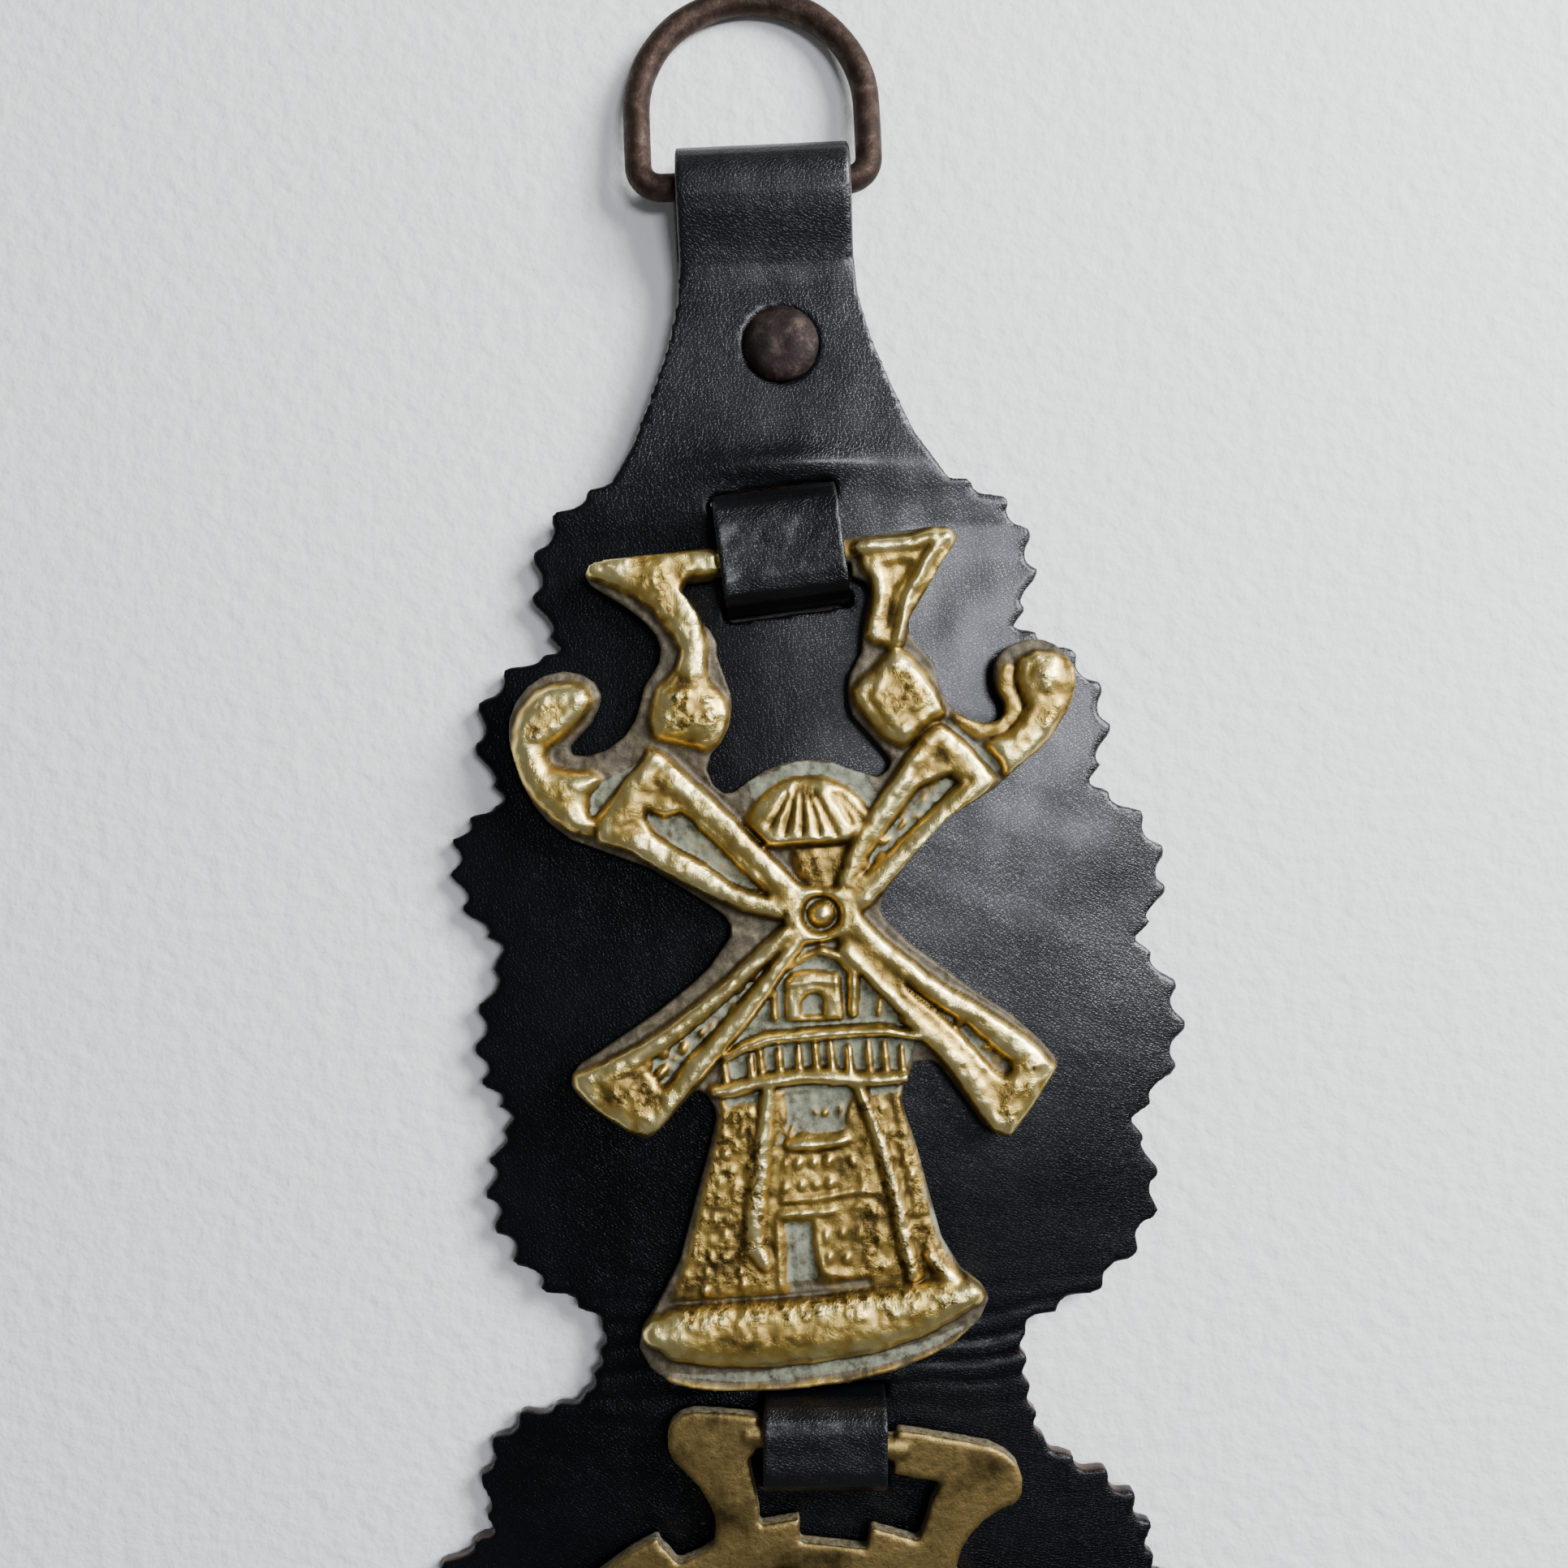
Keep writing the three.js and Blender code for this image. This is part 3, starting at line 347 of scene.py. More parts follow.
alone()
bpy.ops.mesh.primitive_circle_add(
    vertices=24, radius=WIRE, location=(RING_SIDE, RING_CORNER, 0), rotation=(math.pi / 2, 0, 0))
ring = bpy.context.object
ring.name = "ring_of_iron_wire"
bpy.ops.object.transform_apply(location=True, rotation=True, scale=True)
bpy.ops.object.mode_set(mode="EDIT")
bpy.ops.mesh.select_all(action="SELECT")
bpy.ops.mesh.extrude_region_move(TRANSFORM_OT_translate={"value": (0, RING_ROUND - RING_CORNER, 0)})
bpy.ops.mesh.spin(steps=48, angle=-math.pi, center=(0, RING_ROUND, 0), axis=(0, 0, 1))
bpy.ops.mesh.extrude_region_move(TRANSFORM_OT_translate={"value": (0, RING_CORNER - RING_ROUND, 0)})
bpy.ops.mesh.spin(steps=10, angle=-math.pi / 2, center=(-RING_BAR, RING_CORNER, 0), axis=(0, 0, 1))
bpy.ops.mesh.extrude_region_move(TRANSFORM_OT_translate={"value": (2 * RING_BAR, 0, 0)})
bpy.ops.mesh.spin(steps=10, angle=-math.pi / 2, center=(RING_BAR, RING_CORNER, 0), axis=(0, 0, 1))
bpy.ops.mesh.select_all(action="SELECT")
bpy.ops.mesh.remove_doubles(threshold=1e-3)
bpy.ops.mesh.subdivide(number_cuts=1)
bpy.ops.mesh.normals_make_consistent(inside=False)
bpy.ops.object.mode_set(mode="OBJECT")
at = points_of(ring)
out = normals_of(ring)
# Rust has eaten into the wire, so it is nowhere quite round.
depth = 0.05 * waves(at[:, 0] + 3 * at[:, 2], at[:, 1] - 2 * at[:, 2], 21, 7, 4) - 0.05
at += out * depth[:, None]
move_points(ring, at)
ring.data.transform(Matrix.Translation(RING_PLACE) @ Matrix.Rotation(RING_DROOP, 4, "X"))
to_metres(ring, rusty_iron("iron_wire_rusted", "#1b130e", "#33251c", 520.0))
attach(ring, "ring")
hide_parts("d_ring")

# ---- Rivet -----------------------------------------------------------------------------------
# A solid iron rivet with a low domed head, hammered over a small burr at the back; it is dark with
# age, with a little brown rust on the crown.

RIVET_AT = (1.483, 93.644)
RIVET_PROFILE = [  # radius and height, from the burr at the back to the crown of the head
    (3.2, 0.05), (3.2, 0.7), (1.6, 0.8), (1.6, 5.4), (4.55, 5.4), (4.75, 5.6), (4.7, 5.95),
    (4.35, 6.45), (3.7, 6.88), (2.8, 7.2), (1.7, 7.4), (0.7, 7.48),
]
alone()
radius, height = RIVET_PROFILE[0]
bpy.ops.mesh.primitive_circle_add(
    vertices=48, radius=radius, fill_type="TRIFAN", location=(*RIVET_AT, height))
rivet = bpy.context.object
rivet.name = "rivet_hammered"
bpy.ops.object.transform_apply(location=True, rotation=True, scale=True)
bpy.ops.object.mode_set(mode="EDIT")
for radius_next, height_next in RIVET_PROFILE[1:]:
    select_where(rivet, lambda co: abs(co.z - height) < 1e-4
                 and (co.xy - Vector(RIVET_AT)).length > radius - 0.01)
    bpy.ops.mesh.extrude_region_move(TRANSFORM_OT_translate={"value": (0, 0, height_next - height)})
    bpy.ops.transform.resize(
        value=(radius_next / radius, radius_next / radius, 1), center_override=(*RIVET_AT, height_next))
    radius, height = radius_next, height_next
bpy.ops.mesh.edge_face_add()
bpy.ops.mesh.select_all(action="SELECT")
bpy.ops.mesh.normals_make_consistent(inside=False)
bpy.ops.object.mode_set(mode="OBJECT")
rounder = rivet.modifiers.new("rounder", "SUBSURF")
rounder.levels = rounder.render_levels = 2
bpy.ops.object.modifier_apply(modifier=rounder.name)
at = points_of(rivet)
crown = step(5.7, 6.8, at[:, 2])
at[:, 2] += crown * (0.1 * waves(at[:, 0], at[:, 1], 8, 5, 2) - 0.08)
move_points(rivet, at)
to_metres(rivet, rusty_iron("iron_rivet_darkened", "#181210", "#241b18", 420.0))
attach(rivet, "strap")
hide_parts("rivet")

# ---- Leather loops ---------------------------------------------------------------------------
# Two short bands of thinner harness leather, each put down through two slots of the strap and
# joined behind it, so that a brass hangs from it by its bar. They are waxed as the strap is.

loop_leather = harness_leather("loop_leather_black_waxed", False)
for node, middle, turn in (("upper_loop", (0.383, 67.944), 5.5), ("lower_loop", (1.283, -42.956), -2.3)):
    loop = cast_off(node, node + "_of_leather")
    reskin(loop, 0.28)
    at = points_of(loop)
    across = (at[:, 0] - middle[0]) * math.cos(math.radians(turn)) + (
        at[:, 1] - middle[1]) * math.sin(math.radians(turn))
    # The band is pressed hollow over the bar, and its cut edges curl up a little.
    high = step(6.5, 9.5, at[:, 2])
    at[:, 2] -= high * 0.28 * (1 - (np.abs(across) / 7.7) ** 4)
    at[:, 2] += high * 0.07 * waves(at[:, 0], at[:, 1], 14, 6, 3)
    move_points(loop, at)
    settle = loop.modifiers.new("settle", "SMOOTH")
    settle.iterations = 3
    bpy.ops.object.modifier_apply(modifier=settle.name)
    keep(loop, "waxed", np.full(len(at), 0.5))
    to_metres(loop, loop_leather)
    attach(loop, "strap")
    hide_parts(node)

# ---- Windmill brass --------------------------------------------------------------------------
# A sand casting in yellow brass, polished on its high parts for a hundred years or so. The hollows
# hold dried polish, the flange round the carving is dull, and the casting skin shows as small pits.
# The carving is drawn in the casting's own frame: millimetres from the hub of the sails.

WINDMILL_HINGE = Vector((0.383, 66.794, 7.0))
WINDMILL_AXIS = Vector((-2.3, 44.3, 0))
WINDMILL = (
    Matrix.Translation(WINDMILL_HINGE)
    @ Matrix.Rotation(math.radians(3.5), 4, "Z")
    @ Matrix.Rotation(math.radians(0.5), 4, "X")
    @ Matrix.Rotation(math.radians(-2.47), 4, "Z")
    @ Matrix.Translation(-WINDMILL_AXIS)
)
GROUND = 1.2  # top of the flange over the casting's middle plane
CELL = 0.2
FOOT_SPREAD = 0.35  # how far the foot of each raised area runs out past its outline
LEFT, RIGHT, LOW, HIGH = -38.0, 31.5, -60.5, 49.0
grid_x, grid_y = np.meshgrid(np.arange(LEFT, RIGHT, CELL), np.arange(LOW, HIGH, CELL))


def along(stations):
    """For every grid cell, how far it is from a line of (x, y, half width), as a share of the width."""
    best = np.full(grid_x.shape, 9.0)
    for (ax, ay, aw), (bx, by, bw) in zip(stations, stations[1:]):
        dx, dy = bx - ax, by - ay
        t = np.clip(((grid_x - ax) * dx + (grid_y - ay) * dy) / (dx * dx + dy * dy), 0, 1)
        away = np.hypot(grid_x - ax - t * dx, grid_y - ay - t * dy)
        best = np.minimum(best, away / (aw + t * (bw - aw)))
    return best


def inside(outline):
    """For every grid cell, its depth inside a closed outline, negative outside it."""
    within = np.zeros(grid_x.shape, dtype=bool)
    depth = np.full(grid_x.shape, 99.0)
    for (ax, ay), (bx, by) in zip(outline, outline[1:] + outline[:1]):
        dx, dy = bx - ax, by - ay
        t = np.clip(((grid_x - ax) * dx + (grid_y - ay) * dy) / (dx * dx + dy * dy), 0, 1)
        depth = np.minimum(depth, np.hypot(grid_x - ax - t * dx, grid_y - ay - t * dy))
        if ay != by:
            crossing = (ay > grid_y) != (by > grid_y)
            within ^= crossing & (grid_x < dx * (grid_y - ay) / dy + ax)
    return np.where(within, depth, -depth)


def blur(field, reach):
    """The field with detail finer than reach, in mm, smoothed away."""
    size = int(math.ceil(3 * reach / CELL))
    kernel = np.exp(-0.5 * (np.arange(-size, size + 1) * CELL / reach) ** 2)
    kernel /= kernel.sum()
    padded = np.pad(field, size, mode="edge")
    rows = sum(k * padded[i:i + field.shape[0], :] for i, k in enumerate(kernel))
    return sum(k * rows[:, i:i + field.shape[1]] for i, k in enumerate(kernel))


def ridge(field, stations, top, fullness=2.0, foot=0.9):
    """A rounded bar: full height along its middle, running out into the ground at its edges."""
    share = np.clip(along(stations), 0, 1)
    profile = (1 - share ** fullness) ** (1 / fullness)
    return np.where(share < 1, np.maximum(field, foot + (top - foot) * profile), field)


def table(field, outline, top, edge, foot=1.0):
    """A raised area with an even top and rounded edges of the given width."""
    depth = inside(outline) + FOOT_SPREAD
    rise = np.sqrt(1 - (1 - np.clip(depth / edge, 0, 1)) ** 2)
    return np.where(depth > 0, np.maximum(field, foot + (top - foot) * rise), field)


def sink(field, outline, level, edge=0.5):
    """A sunk panel: the field is drawn down to a level inside the outline."""
    share = step(0, edge, inside(outline))
    return field + (np.minimum(field, level) - field) * share


def groove(field, stations, depth):
    share = np.clip(along(stations), 0, 1)
    return field - depth * (1 - share ** 2)


def lump(field, x, y, length, width, angle, top):
    """A small raised leaf or stone, its long side turned by angle from +X."""
    c, s = math.cos(math.radians(angle)), math.sin(math.radians(angle))
    u = ((grid_x - x) * c + (grid_y - y) * s) / (length / 2)
    v = (-(grid_x - x) * s + (grid_y - y) * c) / (width / 2)
    share = np.clip(1 - u * u - v * v, 0, 1)
    return np.where(share > 0, np.maximum(field, 0.9 + (top - 0.9) * share ** 0.45), field)


field = np.full(grid_x.shape, 1.1)

# Hanging bar, horns, legs and lugs.
field = ridge(field, [(-12, 43.9, 1.7), (8, 44.8, 1.7)], 1.7, 2.0, 0.0)
field = table(field, [
    (-26.4, 43.7), (-25.1, 45.1), (-22.0, 45.5), (-19.5, 45.7), (-14.5, 45.5), (-10.0, 45.4), (-10.0, 42.5),
    (-13.2, 42.5), (-14.2, 41.8), (-15.1, 40.8), (-15.4, 39.6), (-14.7, 38.0), (-13.5, 36.7), (-12.6, 35.9),
    (-12.2, 33.9), (-12.6, 31.4), (-12.3, 29.4), (-11.3, 28.3), (-10.3, 27.0), (-10.0, 25.2), (-10.5, 23.2),
    (-11.8, 21.7), (-13.0, 21.2), (-15.9, 22.1), (-19.1, 23.1), (-19.5, 24.8), (-19.1, 26.8), (-18.4, 28.7),
    (-16.9, 30.2), (-15.9, 31.1), (-15.3, 32.6), (-15.2, 33.6), (-15.9, 35.1), (-17.1, 36.7), (-18.4, 38.5),
    (-20.3, 40.4), (-22.8, 41.8), (-24.9, 42.9)], 2.5, 1.3)
field = ridge(field, [
    (-25.0, 43.9, 1.3), (-21.5, 43.6, 2.0), (-18.2, 42.4, 2.6), (-16.4, 39.8, 2.3), (-14.4, 36.8, 1.9),
    (-13.7, 33.4, 1.5), (-14.2, 30.6, 1.8)], 2.95, 2.0, 2.0)
field = table(field, [
    (-18.3, 27.7), (-17.0, 28.9), (-15.0, 29.5), (-13.0, 29.2), (-11.1, 27.3), (-10.5, 25.3), (-11.4, 22.8),
    (-12.9, 21.9), (-15.9, 22.6), (-18.6, 23.5), (-18.8, 25.8)], 3.15, 2.2)
field = table(field, [
    (7.6, 45.6), (13.5, 45.6), (16.6, 46.6), (18.6, 46.2), (19.1, 45.0), (17.9, 42.6), (16.2, 40.2),
    (14.6, 38.3),
    (13.2, 36.4), (12.1, 34.4), (11.5, 32.4), (10.3, 32.4), (8.5, 33.2), (7.7, 34.2), (8.2, 36.2),
    (8.9, 39.1),
    (8.6, 41.2), (7.6, 42.5)], 2.3, 0.8)
field = sink(field, [
    (9.6, 42.9), (13.4, 43.2), (14.6, 42.5), (13.3, 40.7), (11.5, 38.6), (11.0, 36.0), (10.5, 34.2),
    (9.3, 34.4),
    (9.6, 37.1), (10.0, 39.6), (9.6, 41.6)], 1.75, 0.9)
field = ridge(field, [(7.4, 44.7, 0.9), (10.0, 44.8, 1.0), (13.5, 44.9, 1.0),
    (16.5, 45.4, 1.0)], 2.9, 2.0, 2.0)
field = ridge(field, [
    (18.0, 45.4, 1.0), (16.3, 43.9, 0.9), (15.4, 42.3, 0.8), (14.1, 40.2, 0.7), (12.8, 38.2, 0.7),
    (12.2, 35.9, 0.7), (11.4, 33.0, 0.7)], 3.0, 2.0, 2.0)
field = table(field, [
    (11.0, 32.4), (12.7, 30.9), (14.5, 28.8), (15.5, 26.7), (16.6, 23.7), (15.2, 22.6), (12.8, 20.9),
    (11.3, 20.1), (9.3, 21.3), (7.5, 23.4), (5.9, 25.8), (5.7, 27.3), (6.5, 28.4), (8.1, 29.4), (9.7, 31.2)],
    2.6, 1.3)
field = table(field, [
    (10.9, 31.4), (13.1, 29.4), (15.4, 26.2), (16.2, 24.2), (13.7, 22.7), (11.6, 21.0), (9.5, 23.3),
    (7.8, 26.2), (8.4, 28.2), (9.6, 30.1)], 3.0, 1.0, 2.3)

# Hooks at the ends of the two upper sails.
field = table(field, [
    (-26.7, 27.7), (-27.3, 29.4), (-29.0, 30.2), (-31.0, 30.1), (-33.5, 29.1), (-35.4, 27.2), (-36.4, 24.8),
    (-36.6, 21.8), (-35.8, 18.8), (-34.3, 16.1), (-32.4, 13.9), (-30.0, 12.0), (-27.6, 11.2), (-26.9, 12.8),
    (-27.9, 14.8), (-27.7, 16.5), (-26.2, 18.2), (-27.4, 19.0), (-30.1, 19.3), (-32.1, 20.0), (-32.8, 21.5),
    (-32.3, 22.7), (-30.3, 23.9), (-28.2, 25.7)], 3.0, 2.0)
field = ridge(field, [
    (24.6, 28.6, 1.2), (24.3, 26.4, 1.2), (25.2, 23.8, 1.2), (23.6, 21.6, 1.3), (20.8, 21.6, 1.2),
    (18.0, 23.2, 0.9)], 1.8, 2.0, 1.1)
field = table(field, [
    (23.1, 17.0), (23.9, 15.7), (26.9, 17.9), (29.1, 19.9), (31.3, 23.0), (32.4, 25.8), (32.3, 28.2),
    (31.0, 30.1), (28.2, 30.7), (26.2, 29.7), (25.7, 27.6), (26.4, 25.5), (26.8, 24.1), (25.9, 22.4),
    (24.3, 20.9), (22.8, 20.3), (21.8, 19.8)], 2.8, 1.6)
field = lump(field, 29.2, 27.4, 6.4, 6.4, 0, 3.35)

# Sails: a broad raised body with a rail along each side, round a sunk panel.
for body, panel, rails in (
    ([(-19.9, 21.4), (-18.3, 20.7), (-15.2, 17.5), (-12.4, 13.9), (-9.6, 10.7), (-6.7, 8.0), (-3.9, 4.3),
      (-3.1, 1.3), (-4.2, -0.2), (-7.2, 0.8), (-9.6, 1.6), (-13.0, 3.0), (-16.4, 5.0), (-18.8, 6.9),
      (-22.2, 8.9), (-26.6, 10.6), (-27.1, 13.0), (-25.3, 15.0), (-22.7, 17.4), (-20.8, 19.6)],
     [(-20.9, 14.4), (-18.4, 13.4), (-16.4, 13.9), (-15.0, 12.8), (-11.7, 9.1), (-8.9, 5.9), (-5.8, 2.7),
      (-6.6, 2.3), (-9.0, 3.2), (-11.0, 4.2), (-13.8, 6.6), (-17.2, 8.8), (-20.1, 10.9), (-21.2, 12.8)],
     [[(-18.6, 18.6, 1.6), (-14.8, 15.2, 1.5), (-11.3, 11.8, 1.4), (-8.5, 8.6, 1.2), (-6.0, 6.0, 1.2),
       (-3.8, 2.8, 1.5)],
      [(-25.0, 11.8, 1.2), (-21.6, 10.2, 1.6), (-18.7, 8.2, 1.6), (-15.8, 6.2, 1.5), (-12.5, 4.1, 1.4),
       (-9.1, 2.3, 1.3), (-5.1, 1.2, 1.4)],
      [(-19.3, 19.8, 1.3), (-21.6, 16.6, 1.9), (-23.2, 14.2, 1.9), (-25.3, 12.1, 1.4)]]),
    ([(15.8, 22.7), (18.5, 19.8), (21.3, 16.9), (22.3, 15.3), (20.7, 13.6), (18.6, 12.3), (15.4, 9.9),
      (12.3, 6.9), (9.1, 4.0), (5.9, 1.2), (4.4, -0.5), (3.0, 0.9), (2.3, 3.5), (3.0, 4.7), (4.6, 8.2),
      (6.3, 10.8), (9.0, 14.6), (11.7, 18.4), (14.1, 21.3)],
     [(15.6, 16.2), (17.1, 16.5), (18.3, 15.3), (17.0, 14.1), (14.3, 11.7), (11.1, 8.9), (8.2, 6.3),
      (5.7, 4.4), (4.9, 4.6), (5.9, 6.8), (7.9, 9.4), (10.6, 12.8), (12.7, 15.2)],
     [[(15.4, 21.3, 1.2), (13.2, 18.6, 1.3), (10.5, 15.3, 1.2), (7.9, 12.0, 1.1), (5.8, 9.3, 1.0),
       (4.5, 6.8, 1.0), (3.3, 3.9, 1.0)],
      [(20.8, 15.0, 1.2), (17.6, 12.6, 1.2), (14.4, 9.9, 1.15), (11.3, 7.1, 1.1), (8.1, 4.2, 1.1),
       (5.2, 1.7, 1.2)],
      [(15.6, 21.2, 1.3), (17.9, 18.6, 1.8), (20.5, 15.7, 1.3)]]),
    ([(-3.3, -1.2), (-7.3, -4.0), (-11.2, -7.2), (-15.2, -10.0), (-19.1, -12.6), (-22.6, -14.7),
      (-25.9, -16.5), (-28.8, -17.2), (-31.3, -18.2), (-31.3, -19.4), (-28.9, -22.4), (-24.6, -25.4),
      (-22.5, -25.9), (-20.0, -22.7), (-17.7, -20.0), (-16.6, -18.8), (-13.7, -15.9), (-10.6, -12.8),
      (-7.6, -9.3), (-5.0, -6.1), (-2.2, -2.6)],
     [(-23.1, -17.3), (-22.7, -16.6), (-19.2, -14.7), (-15.3, -11.9), (-11.3, -8.7), (-7.3, -5.6),
      (-4.6, -3.4), (-4.7, -4.0), (-7.5, -7.2), (-11.5, -11.7), (-14.6, -14.8), (-17.0, -16.6),
      (-19.3, -19.7), (-20.8, -20.5), (-21.6, -19.3)],
     [[(-4.3, -2.1, 1.0), (-7.3, -4.5, 1.0), (-11.3, -7.8, 1.0), (-15.2, -10.7, 1.0), (-19.2, -13.4, 1.0),
       (-22.6, -15.6, 1.1), (-26.5, -17.6, 1.4)],
      [(-3.2, -3.3, 0.9), (-5.6, -6.2, 0.9), (-8.3, -9.6, 1.0), (-11.3, -13.0, 1.1), (-14.3, -16.1, 1.1),
       (-17.3, -19.0, 1.2), (-20.0, -22.0, 1.3), (-21.6, -24.2, 1.3)],
      [(-27.0, -18.6, 1.8), (-25.0, -21.6, 2.4), (-22.6, -24.2, 1.5)]]),
    ([(3.5, 0.5), (4.6, -1.7), (7.8, -4.7), (11.4, -7.4), (13.8, -9.7), (16.8, -11.7), (20.4, -14.2),
      (24.5, -17.5), (27.7, -20.5), (24.5, -25.3), (21.7, -28.5), (19.9, -27.9), (17.9, -24.9), (16.2, -22.0),
      (14.1, -18.5), (11.8, -16.3), (9.2, -13.5), (7.2, -11.3), (4.8, -7.8), (2.6, -4.6), (1.8, -2.0)],
     [(9.3, -8.2), (11.7, -10.3), (14.4, -12.3), (17.6, -14.6), (20.5, -17.4), (22.6, -19.3), (22.8, -20.8),
      (21.4, -21.7), (19.8, -20.6), (17.9, -18.0), (15.2, -14.9), (12.1, -12.0), (9.8, -9.8)],
     [[(4.0, -1.2, 1.2), (6.4, -4.2, 1.2), (9.5, -6.9, 1.2), (12.2, -9.2, 1.1), (14.7, -11.1, 1.1),
       (17.9, -13.1, 1.1), (21.3, -15.9, 1.3), (24.9, -19.0, 1.4)],
      [(2.8, -4.6, 0.9), (5.3, -8.1, 1.0), (8.3, -11.4, 1.1), (11.2, -14.1, 1.1), (13.9, -16.9, 1.2),
       (16.3, -19.8, 1.3), (18.2, -23.0, 1.4), (20.3, -26.4, 1.4)],
      [(25.2, -20.0, 1.6), (23.4, -22.6, 2.0), (21.2, -26.2, 1.5)]]),
):
    field = table(field, body, 2.6, 1.0)
    for rail in rails:
        field = ridge(field, [(x, y, 1.1 * half) for x, y, half in rail], 2.95, 2.0, 2.2)
    field = sink(field, panel, 1.3, 0.45)
pale_outlines = [
    [(-28.2, 14.3), (-27.8, 16.3), (-26.2, 18.2), (-23.1, 19.5), (-20.8, 20.8), (-20.5, 20.0), (-22.7, 18.0),
     (-25.2, 15.6), (-26.5, 13.9), (-27.7, 12.8)],
    [(16.7, 23.7), (17.7, 23.2), (20.5, 20.4), (23.4, 17.7), (23.7, 16.3), (22.4, 15.7), (20.9, 17.5),
     (18.5, 20.2), (16.5, 22.3)],
]
for outline in pale_outlines:
    field = sink(field, outline, 1.3, 0.5)
# Furrows between the polished forms and the flange.
for furrow in (
    [(-17.6, 21.4, 0.5), (-14.4, 18.2, 0.7), (-11.2, 14.4, 0.6), (-8.8, 11.4, 0.5)],
    [(16.3, 22.9, 0.4), (13.8, 21.8, 0.4), (11.6, 18.9, 0.5), (8.8, 15.2, 0.4), (6.2, 11.2, 0.4)],
    [(-22.6, -13.6, 0.6), (-19.0, -11.6, 0.5), (-15.0, -9.2, 0.5), (-11.0, -6.4, 0.4)],
):
    field = groove(field, furrow, 0.3)

# Leaves of the lattice in the lower sails, and rough strokes in the upper ones.
for x, y, length, width, angle, top in (
    (-5.9, -5.6, 2.0, 0.7, 48, 1.9), (-7.0, -6.9, 1.9, 0.7, 52, 1.9), (-8.7, -7.3, 1.9, 0.8, 58, 2.0),
    (-10.6, -8.5, 2.0, 0.9, 55, 2.3), (-9.6, -9.6, 1.8, 0.7, 50, 1.8), (-12.3, -9.5, 1.9, 0.9, 62, 2.2),
    (-11.6, -11.0, 1.7, 0.8, 60, 1.9), (-13.6, -10.5, 2.2, 0.8, 70, 2.0), (-15.2, -11.5, 2.1, 0.9, 74, 2.2),
    (-14.2, -12.9, 1.9, 0.8, 60, 1.9), (-15.6, -13.7, 1.7, 0.8, 58, 2.1), (-17.6, -13.4, 2.0, 0.9, 64, 2.1),
    (-17.9, -15.5, 2.2, 1.2, 68, 2.4), (-19.0, -16.8, 1.6, 0.8, 20, 1.9), (-20.3, -15.9, 1.9, 1.3, 70, 2.4),
    (-20.8, -18.3, 3.0, 1.3, 45, 2.5), (-22.6, -17.4, 2.4, 1.4, 64, 2.4),
    (9.4, -8.6, 1.9, 0.9, 80, 1.9), (11.2, -9.6, 1.7, 0.9, 60, 2.1), (13.0, -10.8, 2.0, 0.9, 76, 2.1),
    (13.6, -12.3, 1.5, 0.8, 40, 1.9), (15.4, -12.0, 1.8, 1.0, 74, 2.1), (16.4, -14.0, 2.4, 1.3, 70, 2.4),
    (17.6, -12.9, 1.7, 0.9, 60, 2.0), (18.6, -15.4, 2.6, 1.1, -52, 2.3), (19.4, -17.6, 1.8, 0.9, -30, 2.0),
    (20.6, -15.8, 2.4, 1.1, -50, 2.2), (22.2, -18.2, 1.5, 0.9, 60, 2.1),
    (-17.0, 12.4, 2.2, 0.6, 30, 1.55), (-15.6, 10.6, 2.4, 0.5, -60, 1.6), (-14.2, 11.2, 1.8, 0.5, 20, 1.55),
    (-13.6, 9.4, 2.2, 0.5, 75, 1.6), (-12.2, 8.6, 2.0, 0.5, -20, 1.6), (-11.4, 7.2, 2.0, 0.5, 60, 1.6),
    (-10.2, 7.0, 1.7, 0.5, -45, 1.65), (-9.2, 5.7, 2.0, 0.7, 35, 1.9), (-8.2, 5.2, 1.6, 0.6, -50, 1.9),
    (-7.0, 4.2, 2.2, 0.7, 70, 2.0), (-17.8, 10.9, 1.6, 0.6, -75, 1.7), (-18.8, 12.8, 1.5, 0.5, 60, 1.7),
    (15.2, 15.6, 2.6, 0.8, 46, 1.8), (13.4, 13.2, 2.2, 0.8, 60, 1.9), (12.4, 11.4, 2.0, 0.8, 20, 1.9),
    (10.6, 10.4, 2.6, 0.9, 50, 2.0), (10.2, 8.2, 1.8, 0.8, 80, 2.0), (8.4, 8.6, 2.0, 0.9, 30, 2.1),
    (7.6, 6.4, 2.4, 0.9, 52, 2.1), (5.8, 5.6, 2.0, 1.0, 75, 2.2), (17.6, 16.8, 1.8, 0.9, 10, 2.0),
):
    field = lump(field, x, y, length, width, angle, top)

# The cap: a low dome with ribs fanning out from its top.
dome = np.clip(1 - ((grid_x + 0.9) / 8.4) ** 2 - ((grid_y - 9.0) / 8.3) ** 2, 0, 1)
dome_rise = 1.0 + 2.6 * dome ** 0.42
skirt = step(8.5, 9.2, grid_y) * step(-0.3, 0.8, grid_y - 9.0 - 1.05 * (np.abs(grid_x + 0.9) - 5.4))
field = np.where(dome > 0, np.maximum(field, 1.0 + (dome_rise - 1.0) * skirt), field)
for rib in ([(-2.2, 15.8, 0.35), (-3.8, 10.4, 0.5)], [(-1.5, 15.9, 0.3), (-1.7, 10.2, 0.45)],
            [(-0.9, 15.6, 0.3), (0.0, 12.0, 0.35), (0.3, 10.0, 0.4)], [(-0.1, 15.3, 0.3), (2.4, 9.8, 0.5)],
            [(2.2, 15.0, 0.3), (4.4, 11.2, 0.45)], [(3.0, 14.8, 0.3), (5.6, 11.4, 0.45)],
            [(-3.2, 15.2, 0.3), (-5.6, 11.2, 0.4)]):
    field = groove(field, rib, 0.6)
